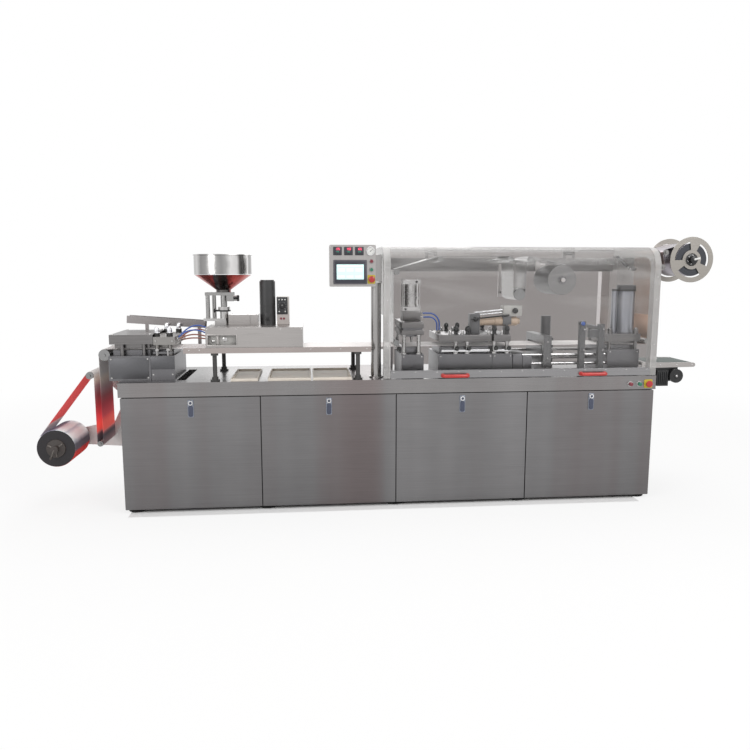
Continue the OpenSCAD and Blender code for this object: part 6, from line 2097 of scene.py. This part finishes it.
    def _hoses(self) -> None:
        """Lead two air hoses from the sealing head to the embossing head."""
        foot, start = self.head_z + 66.0, 185.0
        ends = Shape()
        for name, y, z, x, bend, others in (("air_hose_front", -55.0, foot + 106.0, 292.0, 52.0, ["air_hoses"]),
                                            ("air_hose_rear", -35.0, foot + 130.0, 311.0, 70.0, [])):
            depth = self.line + y
            path = [Vector((start + (x - bend - start) * k / 6.0, depth, z)) for k in range(7)]
            path += [Vector((x - bend + bend * math.sin(a), depth, z - bend + bend * math.cos(a)))
                     for a in (math.pi / 2 * k / 14 for k in range(1, 15))]
            path += [Vector((x, depth, z - bend + (foot - z + bend) * k / 5.0)) for k in range(1, 6)]
            lead_hose(name, path, 5.0, HOSE_BLUE, others)
            ends.turned((start - 2.0, depth, z), RIGHT,
                        [(5.3, 0), (9, 0), (9, 8), (7.5, 10), (7.5, 18), (5.3, 18), (5.3, 0)], 18)
            ends.turned((x, depth, foot), UP, [(5.3, 0), (10, 0), (10, 8), (7.5, 10), (7.5, 20), (5.3, 20),
                                               (5.3, 0)], 18)
        ends.piece("hose_fittings", [BRIGHT_STEEL])


@dataclass
class LiddingFoil:
    """The lidding foil, its roll, guide rollers and the rear frame."""

    machine: Machine
    roll: Point2 = (1079.0, 1400.0)
    roll_r: float = 93.0
    roll_w: float = 290.0
    guide_z: float = 1530.0
    web_hi: float = 986.8

    def build(self) -> None:
        """Dress the frame, then wind the roll and lead the foil."""
        self.machine.dress(REAR_STEEL, "rear_posts", "foil_hangers")
        self.machine.dress(BEAM_STEEL, "rear_beam")
        self.machine.dress(FILM_ROLLER, "foil_rollers")
        s = 18.0 + WEB_GAP
        stops = [(*self.roll, -self.roll_r - ROLL_GAP), (871.0, self.guide_z, -s),
                 (805.0, self.guide_z - 220.0, 36.0 + WEB_GAP), (739.0, self.guide_z, -s),
                 (295.0, self.guide_z, -s), (20.0, self.guide_z - 79.0, -s), (20.0, self.web_hi + 21.05, -s),
                 (57.0, self.web_hi + 2.0, 0.0)]
        foil = Film("foil_web", "foil_metal", (0.5, 0.5, 0.5), roughness=0.24, metallic=0.9,
                    stops=((0.0, (0.40, 0.39, 0.39)), (0.4, (0.44, 0.43, 0.42)),
                           (1.0, (0.38, 0.37, 0.37))), cover=0.85)
        Ribbon(stops).piece("foil_running", foil, Body.MACHINE, ["lidding_foil"])
        x, z = self.roll
        r = self.roll_r
        y0 = LINE_Y - self.roll_w / 2.0
        wound = Shape()
        wound.turned((x, y0, z), BACK, [(SHAFT_R, 0), (30, 0), (30, 0.8), (r - 1, 0.8), (r, 1.6),
                                        (r, self.roll_w - 1.6), (r - 1, self.roll_w - 0.8), (30, self.roll_w - 0.8),
                                        (30, self.roll_w), (SHAFT_R, self.roll_w), (SHAFT_R, 0)], 80)
        wound.turned((x, y0 - 0.4, z), BACK, [(14.2, 0), (26, 0), (29, 1), (29, 3), (14.2, 3), (14.2, 0)], 48, 1)
        for jaw in range(6):
            angle = math.radians(60.0 * jaw)
            wound.turned((x + 22 * math.cos(angle), y0 - 0.3, z + 22 * math.sin(angle)), OUT,
                         [(3, 0), (3, 1.5), (0, 2.4)], 12, 2)
        wound.piece("foil_roll_wound", [FOIL_END, CAST_GREY, BRIGHT_STEEL], Body.FOIL_REEL, ["foil_roll"])


@dataclass
class WasteEnd:
    """Waste reel on its arm, the waste web, and the outfeed conveyor."""

    machine: Machine
    reel: Point2 = (1935.0, 1529.0)
    wound_r: float = 105.0
    hub_r: float = 40.0
    reel_half: float = 145.0
    belt_x: Span = (1632.0, 2000.0)
    belt_z: Span = (828.0, 866.0)

    def build(self) -> None:
        """Dress the arm and flanges, wind the waste and make the outfeed."""
        self.machine.dress(FRAME_STEEL, "reel_arm")
        self.machine.dress(FLANGE, "reel_flanges")
        self.machine.dress(SHEET_STEEL, "outfeed_conveyor")
        self.machine.dress(BLACK_PAINT, "outfeed_motor")
        self._web()
        self._reel()
        self._outfeed()

    def _web(self) -> None:
        """Lead the punched web up to the reel."""
        s, z = 19.05, WEB_Z
        stops = [(1605.0, z, 0.0), (1665.95, z + s, -s), (1704.05, 1570.0, s), (1744.05, 1481.0, -s),
                 (1762.05, 1575.0, s), (*self.reel, self.wound_r + ROLL_GAP)]
        waste = Film("waste_web_colour", "waste_foil", (0.4, 0.3, 0.25), roughness=0.28, metallic=0.6,
                     stops=((0.0, (0.50, 0.44, 0.42)), (0.25, (0.50, 0.30, 0.20)), (0.45, (0.52, 0.42, 0.38)),
                            (0.7, (0.40, 0.38, 0.42)), (1.0, (0.34, 0.31, 0.36))), cover=0.95)
        Ribbon(stops).piece("waste_running", waste, Body.MACHINE, ["waste_web"])

    def _reel(self) -> None:
        """Wind the waste between the flanges and put the hub's lever on."""
        x, z = self.reel
        y0 = LINE_Y - WEB_HALF - 2.0
        w, r, h = 2.0 * WEB_HALF + 4.0, self.wound_r, self.hub_r
        wound = Shape()
        for start, way in ((y0, BACK), (y0 + w, OUT)):
            wound.turned((x, start, z), way, [(h + 0.4, 0), (r - 2, 0), (r - 2, 3), (h + 0.4, 3), (h + 0.4, 0)], 72)
        wound.turned((x, y0 + 0.3, z), BACK, [(r - 2.4, 0), (r - 1, 0.2), (r, 1.5), (r, w - 2), (r - 1, w - 0.8),
                                              (r - 2.4, w - 0.6), (r - 2.4, 0)], 72, 1)
        wound.turned((x, LINE_Y - self.reel_half - 1.5, z), BACK,
                     [(SHAFT_R, 0), (h - 6, 0), (h, 4), (h, 2 * self.reel_half - 1),
                      (h - 6, 2 * self.reel_half + 3), (SHAFT_R, 2 * self.reel_half + 3), (SHAFT_R, 0)], 48, 2)
        for k in range(6):
            angle = math.radians(60.0 * k + 20.0)
            wound.turned((x + 27 * math.cos(angle), LINE_Y - self.reel_half - 1.4, z + 27 * math.sin(angle)), OUT,
                         [(4, 0), (4, 2.5), (2.6, 3.2), (0, 3.4)], 12, 3)
        wound.piece("waste_wound", [WASTE_END, WASTE_SIDE, BLACK_PAINT, BRIGHT_STEEL], Body.WASTE_REEL,
                    ["waste_roll"])
        y = LINE_Y - self.reel_half - 35.0
        nut = Shape()
        nut.turned((x, y + 16, z), OUT, [(14.4, 0), (24, 0), (24, 15), (20, 18), (0, 19)], 24)
        nut.rod((x - 4, y - 2, z), (x + 34, y - 9, z + 9), 6.5, 2.0, 16, 1)
        nut.piece("reel_lever", [BLACK_PAINT, DIAL_WHITE])

    def _outfeed(self) -> None:
        """Make the belt, its side screws, the drive's ribs and cover, and two small fittings."""
        x0, x1 = self.belt_x
        z0, z1 = self.belt_z
        zc, tip = (z0 + z1) / 2.0, (z1 - z0) / 2.0 - 4.6
        belt = Ribbon([(x0 + 60.0, zc, tip + 0.2), (x1 - 22.0, zc, tip + 0.2), (x0 + 60.0, zc, tip + 0.2)],
                      half=125.0, thick=0.8)
        green = Film("belt_colour", "rubber_pad", (0.07, 0.10, 0.09), roughness=0.5,
                     stops=((0.0, (0.075, 0.10, 0.092)), (1.0, (0.06, 0.085, 0.078))), cover=1.0)
        belt.piece("outfeed_belt", green, Body.MACHINE, [])
        spots = [((x, y, zc), way) for y, way in ((LINE_Y - 156.0, OUT), (LINE_Y + 156.0, BACK))
                 for x in (x0 + 26.0, x0 + 130.0, x0 + 240.0, x1 - 22.0)]
        Repeater.set("outfeed_screws", pan_screw(5.0), spots, BRIGHT_STEEL)
        drive = Shape()
        xm, zm = 1736.0, 711.0
        y = LINE_Y - 170.0
        for k in range(5):
            drive.block((xm + 9 + k * 13.0, xm + 15 + k * 13.0), (y - 5.0, y + 1.0), (zm + 10.0, zm + 92.0), 1.0)
        drive.turned((1859.0, y - 12.0, 778.0), OUT,
                     [(45, 0), (45.2, 1), (45.2, 3), (36, 3.6), (34, 1.8), (18, 1.8), (16, 5), (6, 6), (0, 6)], 40)
        drive.turned((1859.0, y - 17.0, 778.0), OUT, [(7, 0), (7, 3), (5, 4), (0, 4)], 16, 1)
        drive.block((1700.0, 1716.0), (LINE_Y - 130.0, LINE_Y - 96.0), (866.5, 900.0), 2.0, 1)
        drive.turned((1760.0, LINE_Y - 60.0, 866.0), UP,
                     [(14, 0), (14, 6), (20, 9), (20, 20), (16, 26), (0, 27)], 28, 2)
        drive.piece("outfeed_drive_ribs", [BLACK_PAINT, BRIGHT_STEEL, DIAL_WHITE])


@dataclass
class Hood:
    """The clear hood that lifts, its rails, handles and gas struts."""

    machine: Machine
    x: Span = (-76.0, 1656.0)
    handle_x: tuple[float, ...] = (365.0, 1243.0)
    handle_z: float = 820.0
    handle_w: float = 176.0
    rail_y: float = -350.0
    reach: float = 42.0

    def build(self) -> None:
        """Dress the sheets and frames and make the handles and rivets."""
        self.machine.dress(HOOD_SHEET, "hood_glazing")
        self.machine.dress(FRAME_PLASTIC, "hood_frames")
        self.machine.dress(RAIL_STEEL, "hood_trim")
        self.machine.dress(BLACK_PAINT, "strut_tubes")
        self.machine.dress(STRUT_STEEL, "strut_rods")
        self._handles()
        self._rivets()

    def _handles(self) -> None:
        """Mould the two pull handles as one bent bar each."""
        bar = Shape()
        for x in self.handle_x:
            half = self.handle_w / 2.0
            path = []
            y0, y1 = self.rail_y - 0.2, self.rail_y - self.reach + 11.0
            bend = 16.0
            for side in (-1.0, 1.0):
                leg = [(x + side * (half - 11.0), y0 + (y1 + bend - y0) * k / 3.0) for k in range(4)]
                arc = [(x + side * (half - 11.0 - bend + bend * math.cos(a)), y1 + bend - bend * math.sin(a))
                       for a in (math.pi / 2 * k / 6 for k in range(1, 7))]
                path += leg + arc if side < 0 else list(reversed(leg + arc))
            bar.tube([(px, py, self.handle_z) for px, py in path], 11.0, 18)
            for side in (-1.0, 1.0):
                bar.turned((x + side * (half - 11.0), self.rail_y, self.handle_z), OUT,
                           [(13, 0), (13, 3), (11.5, 5), (11.2, 5)], 24)
        bar.piece("pull_handles", [HANDLE_RED], Body.HOOD, ["hood_handles"])

    def _rivets(self) -> None:
        """Set rivets along the front rail and the end frames."""
        x0, x1 = self.x
        spots: list[Spot] = [((x0 + 60.0 + k * (x1 - x0 - 120.0) / 12.0, self.rail_y, 842.0), OUT)
                             for k in range(13)]
        spots += [((x, -348.0, z), OUT) for x in (x0 + 20.0, x1 - 20.0)
                  for z in (860.0, 1000.0, 1140.0, 1280.0, 1420.0)]
        spots += [((x, y, 1605.0), UP) for x in (x0 + 20.0, x1 - 20.0) for y in (-190.0, -40.0, 110.0)]
        Repeater.set("hood_rivets", pan_screw(3.6), spots, BRIGHT_STEEL, Body.HOOD)


def main() -> None:
    """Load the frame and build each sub-assembly's looks."""
    logging.basicConfig(level=logging.INFO, format="%(message)s")
    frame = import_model()
    machine = Machine(frame["nodes"])
    for part in (Studio(), HoodedStations(machine), Cabinet(machine), FilmUnwind(machine), FormingStation(machine),
                 Feeder(machine), ControlPanel(machine), LiddingFoil(machine), WasteEnd(machine), Hood(machine)):
        LOG.info("building %s", type(part).__name__)
        part.build()


if __name__ == "__main__":
    main()
